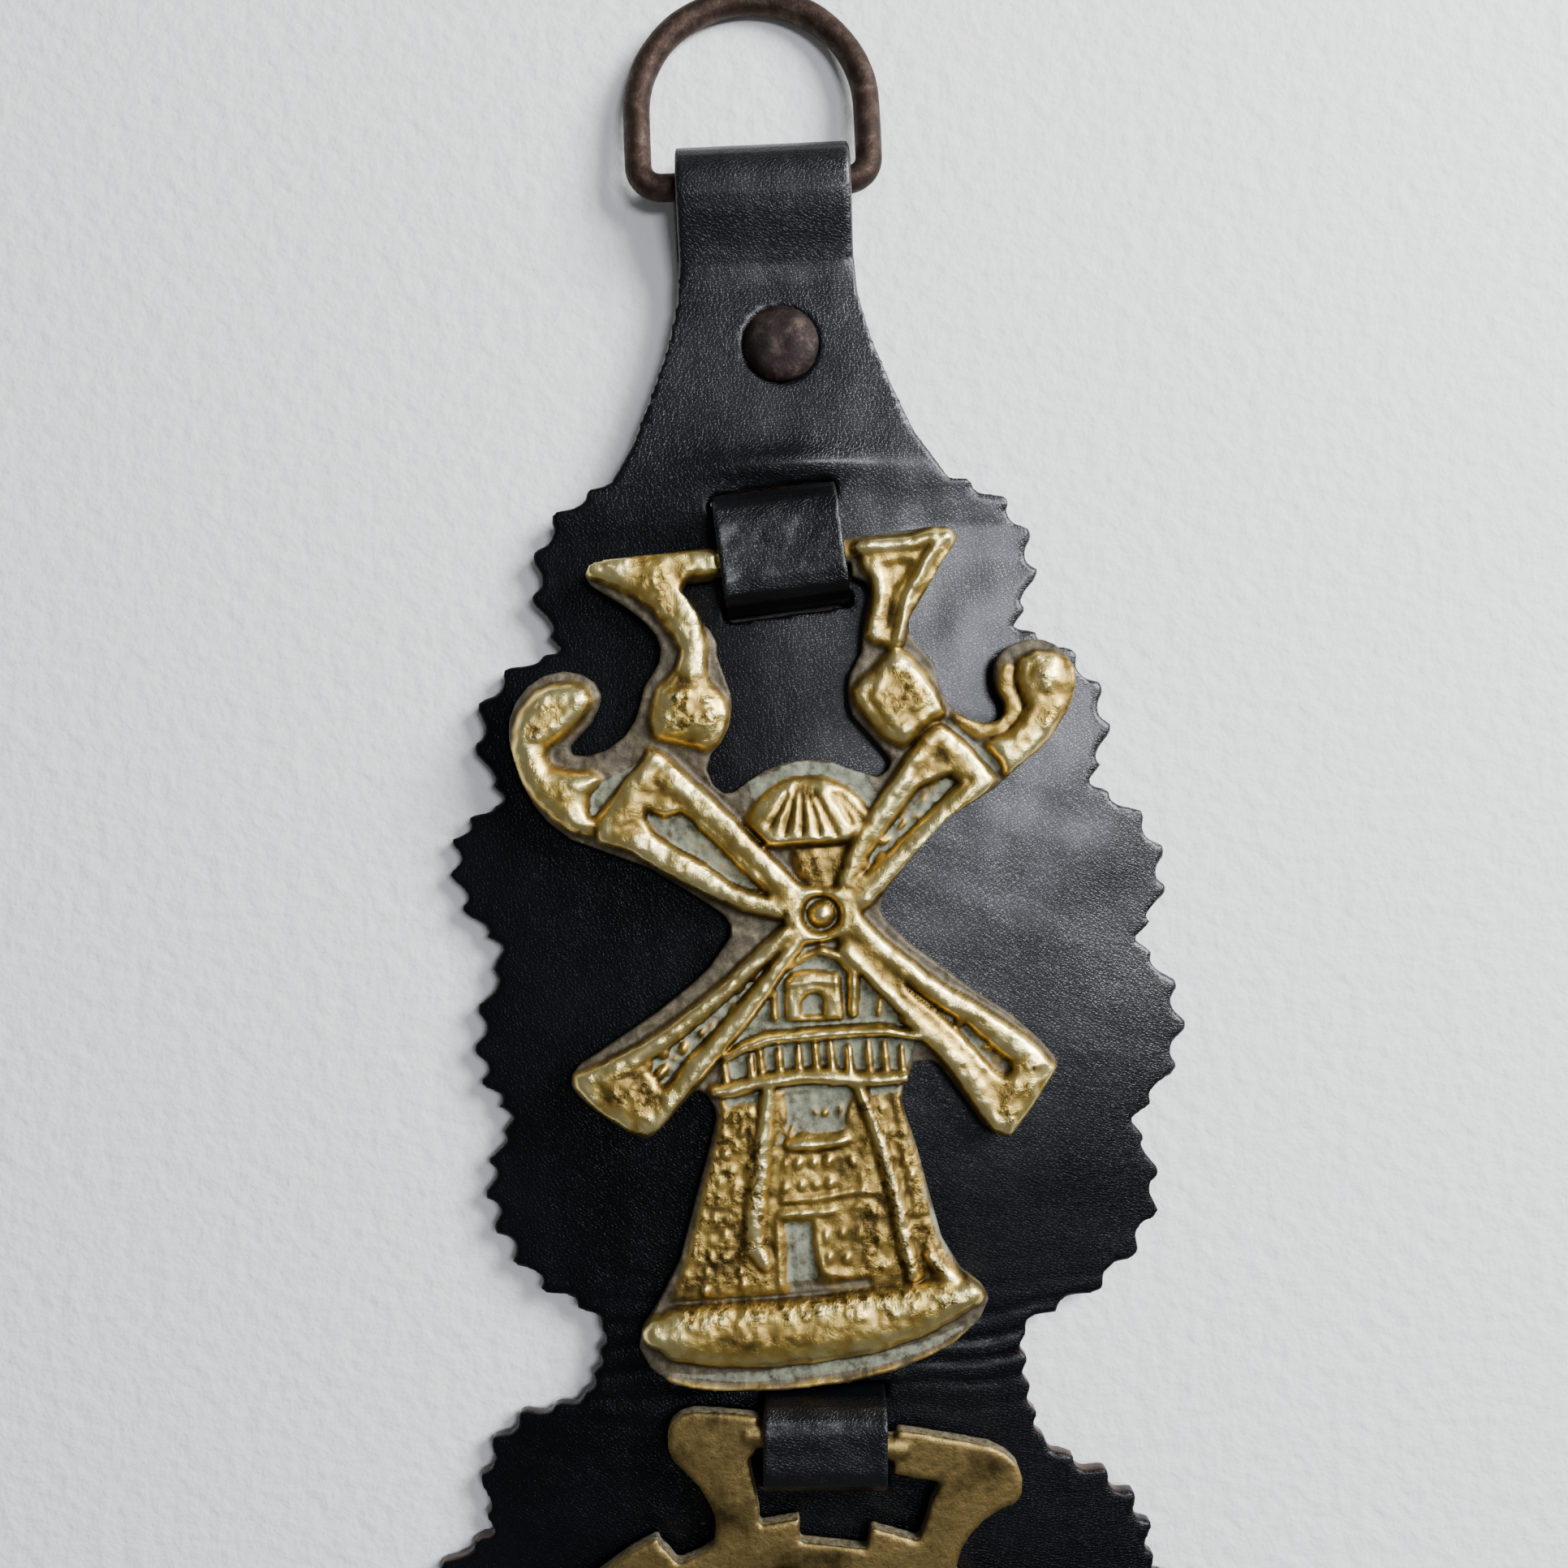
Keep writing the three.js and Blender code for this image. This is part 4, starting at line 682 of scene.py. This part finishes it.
field = ridge(field, [(-6.4, 8.9, 0.4), (-2.0, 8.75, 0.45), (5.2, 8.9, 0.4)], 2.3)
field = table(field, [(-3.0, 8.2), (-2.6, 5.2), (0.2, 3.2), (3.4, 3.4), (4.6, 6.2), (4.4, 8.2)], 1.9, 0.9)

# Hub: the rails run together round a boss in a sunk ring.
field = table(field, [
    (-4.6, 3.4), (-2.4, 3.6), (0.2, 3.0), (2.6, 3.4), (4.7, 1.4), (4.7, -0.8), (3.2, -2.6), (0.2, -3.0),
    (-2.2, -3.4), (-4.0, -2.0), (-4.6, 0.4)], 2.8, 0.9)
field = sink(field, [(2.7 * math.cos(a), 2.7 * math.sin(a)) for a in np.linspace(0, 6.1, 22)], 1.5, 0.5)
field = lump(field, 0.1, 0.1, 3.5, 3.3, 20, 2.9)

# Upper floor: an arched window, a bent bracket and a short bar.
field = sink(field, [(-2.8, -4.4), (1.6, -3.8), (8.4, -11.6), (10.0, -13.6), (-10.2, -13.6)], 1.3, 0.5)
field = table(field, [
    (-4.8, -12.7), (-4.6, -7.9), (-3.8, -7.2), (-1.2, -7.0), (1.5, -7.5), (1.8, -12.9)], 2.3, 0.6)
field = sink(field, [
    (-3.4, -12.6), (-3.4, -10.6), (-2.5, -9.5), (-0.9, -9.4), (-0.1, -10.3), (-0.1, -12.6)], 1.25, 0.3)
field = ridge(field, [(-4.6, -8.3, 0.4), (-1.6, -8.1, 0.35), (1.4, -8.4, 0.4)], 2.6, 2.0, 2.0)
field = ridge(field, [(-4.2, -6.4, 0.4), (-2.6, -5.2, 0.5), (-0.2, -4.3, 0.5)], 1.95)
field = ridge(field, [(-0.2, -4.4, 0.6), (2.1, -5.4, 0.8), (3.6, -7.3, 0.8), (3.2, -12.4, 0.8)], 2.45)
field = ridge(field, [(-6.4, -9.4, 0.5), (-6.5, -12.4, 0.6)], 2.1)
field = ridge(field, [(6.6, -10.6, 0.4), (6.4, -12.6, 0.5)], 1.9)

# Gallery: two rails, with posts between the pale ovals.
field = sink(field, [(-12.6, -16.8), (-7.4, -15.6), (7.2, -15.4), (11.2, -16.4), (9.4, -20.4),
    (-13.6, -20.6)], 1.3, 0.4)
field = ridge(field, [
    (-12.6, -16.8, 0.6), (-10.3, -15.7, 0.8), (-7.5, -14.9, 0.85), (-5.0, -14.8, 0.85), (-2.3, -14.7, 0.9),
    (0.4, -14.6, 0.9), (2.6, -14.6, 0.9), (7.2, -14.7, 0.8), (11.4, -15.8, 0.5)], 3.1, 2.0, 1.2)
field = ridge(field, [
    (-14.4, -21.0, 0.8), (-12.1, -20.9, 1.0), (-9.0, -20.2, 1.0), (-5.4, -19.9, 1.05), (-2.6, -19.8, 1.05),
    (-0.7, -19.9, 1.1), (3.1, -20.6, 1.1), (6.8, -20.7, 1.0), (9.2, -20.6, 0.8)], 3.0, 2.0, 1.2)
for x, low, high, top in (
    (-9.6, -20.0, -17.0, 2.5), (-8.4, -19.6, -16.4, 2.2), (-6.1, -19.4, -16.4, 2.5),
    (-3.7, -19.2, -16.2, 2.5),
    (-1.6, -19.2, -16.0, 2.3), (0.3, -19.2, -16.0, 2.4), (2.5, -19.6, -16.4, 2.7), (4.9, -19.8, -16.2, 2.3),
    (6.9, -19.8, -16.4, 2.2), (9.0, -19.8, -16.8, 2.1), (-12.9, -19.8, -17.6, 2.3),
):
    field = ridge(field, [(x, low, 0.55), (x - 0.1, high, 0.4)], top)

# Tower: a rough wall between ribs, a barred window, a balcony and a door.
field = table(field, [
    (-13.6, -21.6), (-14.4, -27.0), (-16.6, -34.0), (-18.6, -41.0), (-21.2, -46.6), (14.6, -46.0),
    (11.6, -40.0),
    (10.4, -33.5), (8.9, -26.5), (8.3, -21.4)], 1.75, 0.7)
field = sink(field, [(-13.4, -21.8), (-8.9, -21.7), (-8.9, -22.9), (-13.2, -23.2)], 1.15, 0.3)
field = sink(field, [(-5.9, -21.6), (2.2, -20.9), (2.6, -22.4), (1.0, -27.0), (-5.8, -27.0)], 1.2, 0.35)
field = sink(field, [(4.4, -21.4), (8.1, -21.2), (8.2, -22.6), (4.9, -22.8)], 1.15, 0.3)
draw = np.random.default_rng(17)
for side, (top_x, low_x, top_w, low_w) in (
    ("left", (-11.2, -14.8, 2.1, 3.4)), ("right", (7.2, 10.2, 1.5, 2.0)),
):
    for row in range(11):
        share = row / 10
        y = -24.4 - 21.0 * share
        middle = top_x + (low_x - top_x) * share
        half = top_w + (low_w - top_w) * share
        count = 3 if side == "left" else 2
        for i in range(count):
            x = middle + half * (2 * (i + 0.5) / count - 1) + draw.uniform(-0.35, 0.35)
            field = lump(field, x, y + draw.uniform(-0.5, 0.5), draw.uniform(1.6, 2.6),
                         draw.uniform(0.8, 1.2),
                         90 + draw.uniform(-24, 24), draw.uniform(1.9, 2.55))
field = ridge(field, [
    (-7.7, -21.2, 0.9), (-8.5, -26.0, 1.1), (-9.1, -31.0, 1.25), (-10.2, -36.0, 1.5), (-10.6, -40.4, 1.5),
    (-9.4, -42.6, 1.0)], 2.75, 2.4)
field = ridge(field, [
    (3.2, -21.0, 0.8), (4.4, -24.2, 0.85), (5.6, -28.4, 1.0), (6.6, -32.6, 1.1), (7.4, -36.6, 1.2),
    (8.2, -42.0, 1.3), (8.8, -45.0, 1.2)], 2.8)
for x, y, length, width, angle, top in (
    (-4.6, -22.6, 1.6, 0.5, -30, 1.8), (-2.6, -22.7, 1.4, 0.5, 0, 1.8), (-2.2, -24.3, 1.6, 0.7, -60, 1.9),
    (-1.0, -24.5, 1.3, 1.1, 60, 2.2), (-4.6, -24.9, 1.4, 0.5, 10, 1.9), (-5.2, -26.4, 1.8, 0.7, 65, 2.1),
    (0.9, -24.4, 2.6, 0.8, 85, 1.9), (2.1, -25.2, 2.8, 0.7, -80, 2.0), (1.9, -28.0, 1.8, 0.8, -60, 2.1),
    (-6.2, -30.4, 1.5, 1.0, 90, 2.3), (-4.6, -30.5, 1.6, 1.1, 90, 2.6), (-2.7, -30.4, 1.6, 1.1, 90, 2.6),
    (-0.9, -30.3, 1.8, 1.2, 90, 2.7), (-6.4, -33.4, 1.6, 1.0, 90, 2.3), (-4.4, -33.2, 1.8, 0.9, 90, 2.5),
    (-2.5, -33.2, 1.7, 0.9, 90, 2.4), (-0.8, -33.1, 1.7, 1.1, 90, 2.6), (2.1, -30.6, 2.4, 1.2, -75, 2.3),
    (3.2, -33.0, 2.6, 1.1, -70, 2.2), (1.4, -32.6, 2.4, 0.8, 90, 1.9), (2.2, -36.2, 2.0, 1.0, 0, 2.1),
    (4.2, -36.6, 2.4, 1.1, -70, 2.3), (-1.7, -39.8, 2.4, 0.9, 86, 2.4), (-1.5, -42.4, 2.0, 1.0, 80, 2.4),
    (0.3, -39.4, 2.0, 0.9, 90, 2.3), (0.7, -42.6, 1.8, 0.9, 70, 2.5), (2.5, -39.4, 2.6, 1.0, 86, 2.2),
    (3.2, -42.4, 2.2, 1.2, 80, 2.2), (4.9, -40.6, 2.8, 1.2, 90, 2.2), (5.2, -43.8, 2.0, 1.4, 90, 2.2),
):
    field = lump(field, x, y, length, width, angle, top)
field = ridge(field, [(-5.4, -28.1, 0.8), (-2.0, -28.2, 0.9), (1.2, -27.9, 0.7)], 2.8)
field = ridge(field, [(-6.8, -35.0, 0.45), (-2.6, -34.9, 0.5), (2.6, -34.2, 0.6), (4.6, -34.6, 0.4)], 2.3)
field = ridge(field, [(-7.2, -36.6, 0.5), (-0.7, -36.6, 0.5)], 2.5)
field = sink(field, [(-6.8, -37.7), (-3.3, -37.7), (-3.0, -45.4), (3.6, -45.0), (3.8, -46.2),
    (-6.9, -46.6)], 1.15, 0.35)
field = ridge(field, [(-7.6, -37.0, 0.45), (-7.7, -45.6, 0.5)], 2.2)
field = ridge(field, [(-2.9, -37.4, 0.5), (-2.7, -41.0, 0.5), (-2.2, -44.2, 0.5), (0.6, -44.6, 0.5)], 2.1)
for x, low, high in ((-5.4, -45.0, -39.2), (-4.6, -44.6, -40.6)):
    field = ridge(field, [(x, low, 0.25), (x, high, 0.25)], 1.45)

# Foot: a heavy roll, with a sunk lip and a thin bright rim under it.
field = ridge(field, [
    (-23.0, -50.4, 2.2), (-20.0, -50.8, 3.6), (-15.0, -51.2, 4.1), (-9.0, -51.4, 4.2), (-3.0, -51.2, 4.1),
    (3.0, -50.6, 4.0), (8.0, -49.6, 3.6), (12.4, -48.4, 2.9), (15.6, -47.6, 2.0)], 3.7, 2.2)
field = ridge(field, [(10.8, -42.6, 0.8), (12.8, -45.2, 1.4), (14.4, -47.2, 1.6)], 2.9)
foot_lip = [
    (-22.8, -55.4), (-17.0, -55.7), (-11.3, -55.7), (-4.7, -55.2), (2.0, -54.6), (8.7, -53.4), (15.4, -51.4),
    (15.1, -52.5), (11.5, -54.5), (5.7, -56.3), (0.0, -57.2), (-7.6, -57.8), (-14.2, -57.7), (-20.3, -56.8)]
field = sink(field, foot_lip, 1.2, 0.4)
field = ridge(field, [
    (-22.4, -56.3, 0.35), (-19.4, -57.4, 0.4), (-14.3, -58.1, 0.4), (-7.7, -58.2, 0.4), (-0.1, -57.7, 0.4),
    (5.7, -56.6, 0.4), (11.4, -54.8, 0.4), (15.8, -52.3, 0.35)], 1.8)

# Casting skin: pitted where it was never filed, smooth where hands and polish have reached it.
pitted = np.zeros(grid_x.shape)
for outline in (
    [(-18.3, 27.7), (-15.0, 29.5), (-11.1, 27.3), (-10.5, 23.8), (-12.9, 21.9), (-18.6, 23.5)],
    [(10.9, 31.4), (13.1, 29.4), (15.4, 26.2), (13.7, 22.7), (9.5, 23.3), (8.4, 28.2)],
    [(-21.0, 44.6), (-15.6, 44.4), (-15.8, 40.6), (-14.2, 36.0), (-16.2, 36.6), (-19.4, 41.0)],
    [(-32.6, 28.6), (-28.4, 28.4), (-31.4, 24.6), (-33.6, 22.0), (-31.0, 15.0), (-35.0, 20.0), (-35.6, 25.0)],
    [(27.6, 29.6), (31.6, 27.0), (31.4, 23.6), (27.8, 19.0), (26.2, 20.6), (28.6, 24.6)],
    [(-27.4, -17.4), (-22.8, -16.8), (-20.2, -21.2), (-22.0, -25.0), (-27.8, -21.4)],
    [(24.0, -18.0), (27.2, -20.6), (22.0, -28.0), (19.4, -25.4), (20.6, -21.4)],
    [(-3.7, 8.1), (4.3, 7.6), (3.7, 4.8), (2.0, 2.5), (-2.4, 4.8)],
    [(-21.0, -46.6), (-14.0, -46.2), (-4.0, -46.6), (13.0, -45.6), (16.4, -48.6), (8.0, -50.2),
    (-20.0, -50.0)],
    [(-13.6, -21.6), (-20.6, -45.6), (-8.6, -45.8), (-8.0, -23.0)],
    [(3.0, -22.6), (8.3, -21.4), (13.6, -45.8), (2.0, -46.0)],
    [(-6.8, 2.2), (-3.0, 3.0), (-2.0, -2.6), (-5.6, -1.0)],
):
    pitted = np.maximum(pitted, step(-0.4, 1.0, inside(outline)))
pitted = np.maximum(0.45, pitted) * step(-0.9, 0.2, waves(grid_x, grid_y, 33, 4.0, 2))
rough = waves(grid_x, grid_y, 31, 1.5, 3)
field += (0.03 + 0.17 * pitted) * rough + 0.09 * waves(grid_x, grid_y, 35, 6.0, 2)
field += 0.05 * waves(grid_x, grid_y, 37, 2.6, 2)
field = blur(field, 0.19)
high_parts = step(0.02, 0.45, field - blur(field, 1.3)) * step(1.6, 2.4, field)
creases = step(0.08, 0.30, blur(field, 0.6) - field)
gilded = step(1.2, 1.65, blur(field, 0.25))
# Dried polish lies in the sunk panels, the furrows and the lip of the foot.
dried = np.zeros(grid_x.shape)
for outline in pale_outlines + [
    foot_lip,
    [(-20.9, 14.4), (-16.4, 14.1), (-11.7, 9.3), (-5.8, 2.7), (-11.0, 3.9), (-17.2, 8.5), (-21.2, 12.8)],
    [(15.8, 16.4), (18.5, 15.5), (11.3, 8.7), (5.5, 4.0), (4.5, 4.2), (7.9, 9.6)],
    [(-23.4, -16.6), (-15.3, -11.5), (-4.4, -2.8), (-7.5, -7.6), (-17.0, -16.7), (-20.8, -20.7)],
    [(9.5, -7.8), (14.4, -11.9), (20.5, -17.0), (19.8, -20.8), (15.2, -14.6), (9.6, -9.8)],
    [(-2.8, -3.6), (2.6, -3.4), (8.6, -10.8), (11.4, -15.4), (9.6, -20.6), (8.6, -23.4), (11.6, -36.0),
     (14.8, -45.4), (-12.0, -45.6), (-12.6, -30.0), (-15.0, -22.0), (-13.2, -16.4), (-9.8, -12.6)],
    [(-8.0, 14.6), (-3.6, 9.4), (4.4, 8.9), (9.0, 13.0), (6.0, 18.6), (-2.0, 19.4), (-8.4, 17.2)],
    [(3.0, 3.0), (-3.0, 3.2), (-3.0, -2.8), (3.2, -2.8)],
]:
    dried = np.maximum(dried, step(-0.2, 0.5, inside(outline)))
dried *= step(1.95, 1.5, field)


def sample(grid, x, y):
    """The value of a grid field at each point."""
    u = np.clip((x - LEFT) / CELL, 0, grid.shape[1] - 1.001)
    v = np.clip((y - LOW) / CELL, 0, grid.shape[0] - 1.001)
    i, j = u.astype(int), v.astype(int)
    fu, fv = u - i, v - j
    return ((grid[j, i] * (1 - fu) + grid[j, i + 1] * fu) * (1 - fv)
            + (grid[j + 1, i] * (1 - fu) + grid[j + 1, i + 1] * fu) * fv)


windmill = cast_off("windmill_brass", "windmill_casting")
windmill.data.transform(WINDMILL.inverted())
at = points_of(windmill)
at[:, 2] = np.minimum(at[:, 2], GROUND)
move_points(windmill, at)
reskin(windmill, 0.3)
at = points_of(windmill)
rise = np.clip((at[:, 2] + GROUND) / (2 * GROUND), 0, 1) ** 2
at[:, 2] += (sample(field, at[:, 0], at[:, 1]) - GROUND) * rise
move_points(windmill, at)
front = step(0.0, 0.5, at[:, 2])
for name, grid in (("worn", high_parts), ("dried", dried), ("crease", creases), ("gilded", gilded),
                   ("pitted", pitted)):
    keep(windmill, name, sample(grid, at[:, 0], at[:, 1]) * front)
windmill.data.transform(WINDMILL)


def cast_brass(name):
    """Sand-cast yellow brass: gold where it is polished, brown in the pits, pale dried polish in hollows."""
    brass = new_material(name)
    place = add(brass, "TexCoord").outputs["Object"]
    worn, dried, crease, gilded, pitted = [
        add(brass, "Attribute", attribute_name=kept).outputs["Fac"]
        for kept in ("worn", "dried", "crease", "gilded", "pitted")]
    # casting pits from 0.3 to 1.5 mm across, and browner patches from 3 to 8 mm
    pits = add(brass, "TexNoise", {"Vector": place, "Scale": 1000.0, "Detail": 5.0, "Roughness": 0.65,
                                   "Distortion": 0.7}).outputs["Fac"]
    patches = add(brass, "TexNoise", {"Vector": place, "Scale": 190.0, "Detail": 5.0, "Roughness": 0.62})
    crumbs = add(brass, "TexNoise", {"Vector": place, "Scale": 700.0, "Detail": 6.0, "Roughness": 0.7})
    tone = add(brass, "Math", {0: patches.outputs["Fac"], 1: 2.0, 2: worn},
               operation="MULTIPLY_ADD").outputs[0]
    tone = add(brass, "Math", {0: tone, 1: 0.5, 2: -0.3}, operation="MULTIPLY_ADD").outputs[0]
    gold = add(brass, "ValToRGB", {"Fac": tone},
               [(0.05, "#5f4e2c"), (0.25, "#a98c48"), (0.45, "#cfb260"), (0.75, "#f0de98")]).outputs[0]
    pit_depth = add(brass, "Math", {0: pits, 1: pitted, 2: -0.2}, operation="MULTIPLY_ADD").outputs[0]
    pit_mask = add(brass, "ValToRGB", {"Fac": pit_depth}, [(0.24, 0.0), (0.36, 0.85)]).outputs[0]
    brown = add(brass, "Mix", {0: pit_mask, 6: gold, 7: linear("#4c3c1d")}, data_type="RGBA").outputs[2]
    lined = add(brass, "Mix", {0: crease, 6: brown, 7: linear("#40331a")}, data_type="RGBA").outputs[2]
    flange = add(brass, "ValToRGB", {"Fac": crumbs.outputs["Fac"]},
                 [(0.3, "#2b261c"), (0.55, "#514835"), (0.75, "#6e6753")]).outputs[0]
    coloured = add(brass, "Mix", {0: gilded, 6: flange, 7: lined}, data_type="RGBA").outputs[2]
    grime = add(brass, "Math", {0: crumbs.outputs["Fac"], 1: 0.9, 2: dried},
                operation="MULTIPLY_ADD").outputs[0]
    grime = add(brass, "Math", {0: grime, 1: 0.5}, operation="MULTIPLY").outputs[0]
    residue = add(brass, "ValToRGB", {"Fac": grime}, [(0.64, 0.0), (0.78, 0.9)]).outputs[0]
    colour = add(brass, "Mix", {0: residue, 6: coloured, 7: linear("#848b76")}, data_type="RGBA").outputs[2]
    metal = add(brass, "Math", {0: 1.0, 1: residue}, operation="SUBTRACT").outputs[0]
    metal = add(brass, "Mix", {0: gilded, 2: 0.35, 3: metal}, data_type="FLOAT").outputs[0]
    base_rough = add(brass, "ValToRGB", {"Fac": worn}, [(0.0, 0.45), (0.8, 0.31)]).outputs[0]
    rough = add(brass, "Mix", {0: gilded, 2: 0.6, 3: base_rough}, data_type="FLOAT").outputs[0]
    rough = add(brass, "Mix", {0: residue, 2: rough, 3: 0.85}, data_type="FLOAT").outputs[0]
    strength = add(brass, "Math", {0: pits, 1: pitted}, operation="MULTIPLY").outputs[0]
    relief = add(brass, "Bump", {"Height": strength, "Distance": 0.0004, "Strength": 0.7})
    fine = add(brass, "Bump", {"Height": crumbs.outputs["Fac"], "Distance": 0.00008, "Strength": 0.5,
                               "Normal": relief.outputs["Normal"]})
    surface = add(brass, "BsdfPrincipled", {
        "Base Color": colour, "Metallic": metal, "Roughness": rough, "Normal": fine.outputs["Normal"]})
    finish_material(brass, surface)
    return brass


to_metres(windmill, cast_brass("yellow_brass_sand_cast"))
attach(windmill, "windmill")
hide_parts("windmill_brass")

# ---- Lower brass -----------------------------------------------------------------------------
# A flat casting, pierced like a wheel, hung from its own bar and polished less than the windmill:
# a brownish gold skin with darker stains, and pale dried polish on the walls of its openings.

LOWER_HINGE = Vector((1.383, -42.456, 7.5))
LOWER = (
    Matrix.Translation(LOWER_HINGE)
    @ Matrix.Rotation(math.radians(-7.7), 4, "Z")
    @ Matrix.Rotation(math.radians(0.9), 4, "X")
)
medallion = cast_off("lower_brass", "lower_casting")
medallion.data.transform(LOWER.inverted())
reskin(medallion, 0.36)
settle = medallion.modifiers.new("settle", "SMOOTH")
settle.iterations = 2
bpy.ops.object.modifier_apply(modifier=settle.name)
at = points_of(medallion)
out = normals_of(medallion)
flat = step(0.6, 0.95, out[:, 2])
at[:, 2] += flat * 0.07 * waves(at[:, 0], at[:, 1], 41, 7, 3)
move_points(medallion, at)
keep(medallion, "side", step(0.3, 0.8, 1 - np.abs(out[:, 2])))
medallion.data.transform(LOWER)


def dull_brass(name):
    """Cast brass under a thin brown skin: soft shine, darker stains, and pale polish on its walls."""
    brass = new_material(name)
    place = add(brass, "TexCoord").outputs["Object"]
    side = add(brass, "Attribute", attribute_name="side").outputs["Fac"]
    stains = add(brass, "TexNoise", {"Vector": place, "Scale": 95.0, "Detail": 6.0, "Roughness": 0.62})
    specks = add(brass, "TexNoise", {"Vector": place, "Scale": 1500.0, "Detail": 4.0, "Roughness": 0.7})
    skin = add(brass, "ValToRGB", {"Fac": stains.outputs["Fac"]},
               [(0.34, "#3d341e"), (0.46, "#7d6a40"), (0.7, "#a58d57")]).outputs[0]
    fleck = add(brass, "ValToRGB", {"Fac": specks.outputs["Fac"]}, [(0.3, 0.55), (0.5, 0.0)]).outputs[0]
    flecked = add(brass, "Mix", {0: fleck, 6: skin, 7: linear("#453620")}, data_type="RGBA").outputs[2]
    crust = add(brass, "Math", {0: specks.outputs["Fac"], 1: 0.6, 2: side},
                operation="MULTIPLY_ADD").outputs[0]
    crust = add(brass, "Math", {0: crust, 1: 0.5}, operation="MULTIPLY").outputs[0]
    residue = add(brass, "ValToRGB", {"Fac": crust}, [(0.56, 0.0), (0.74, 0.85)]).outputs[0]
    colour = add(brass, "Mix", {0: residue, 6: flecked, 7: linear("#8c8e80")}, data_type="RGBA").outputs[2]
    surface = add(brass, "BsdfPrincipled", {
        "Base Color": colour,
        "Metallic": add(brass, "Math", {0: 1.0, 1: residue}, operation="SUBTRACT").outputs[0],
        "Roughness": add(brass, "ValToRGB", {"Fac": stains.outputs["Fac"]},
                         [(0.3, 0.55), (0.7, 0.38)]).outputs[0],
        "Normal": add(brass, "Bump", {
            "Height": specks.outputs["Fac"], "Distance": 0.00015, "Strength": 0.5}).outputs["Normal"],
    })
    finish_material(brass, surface)
    return brass


to_metres(medallion, dull_brass("yellow_brass_dulled"))
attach(medallion, "medallion")
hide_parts("lower_brass")
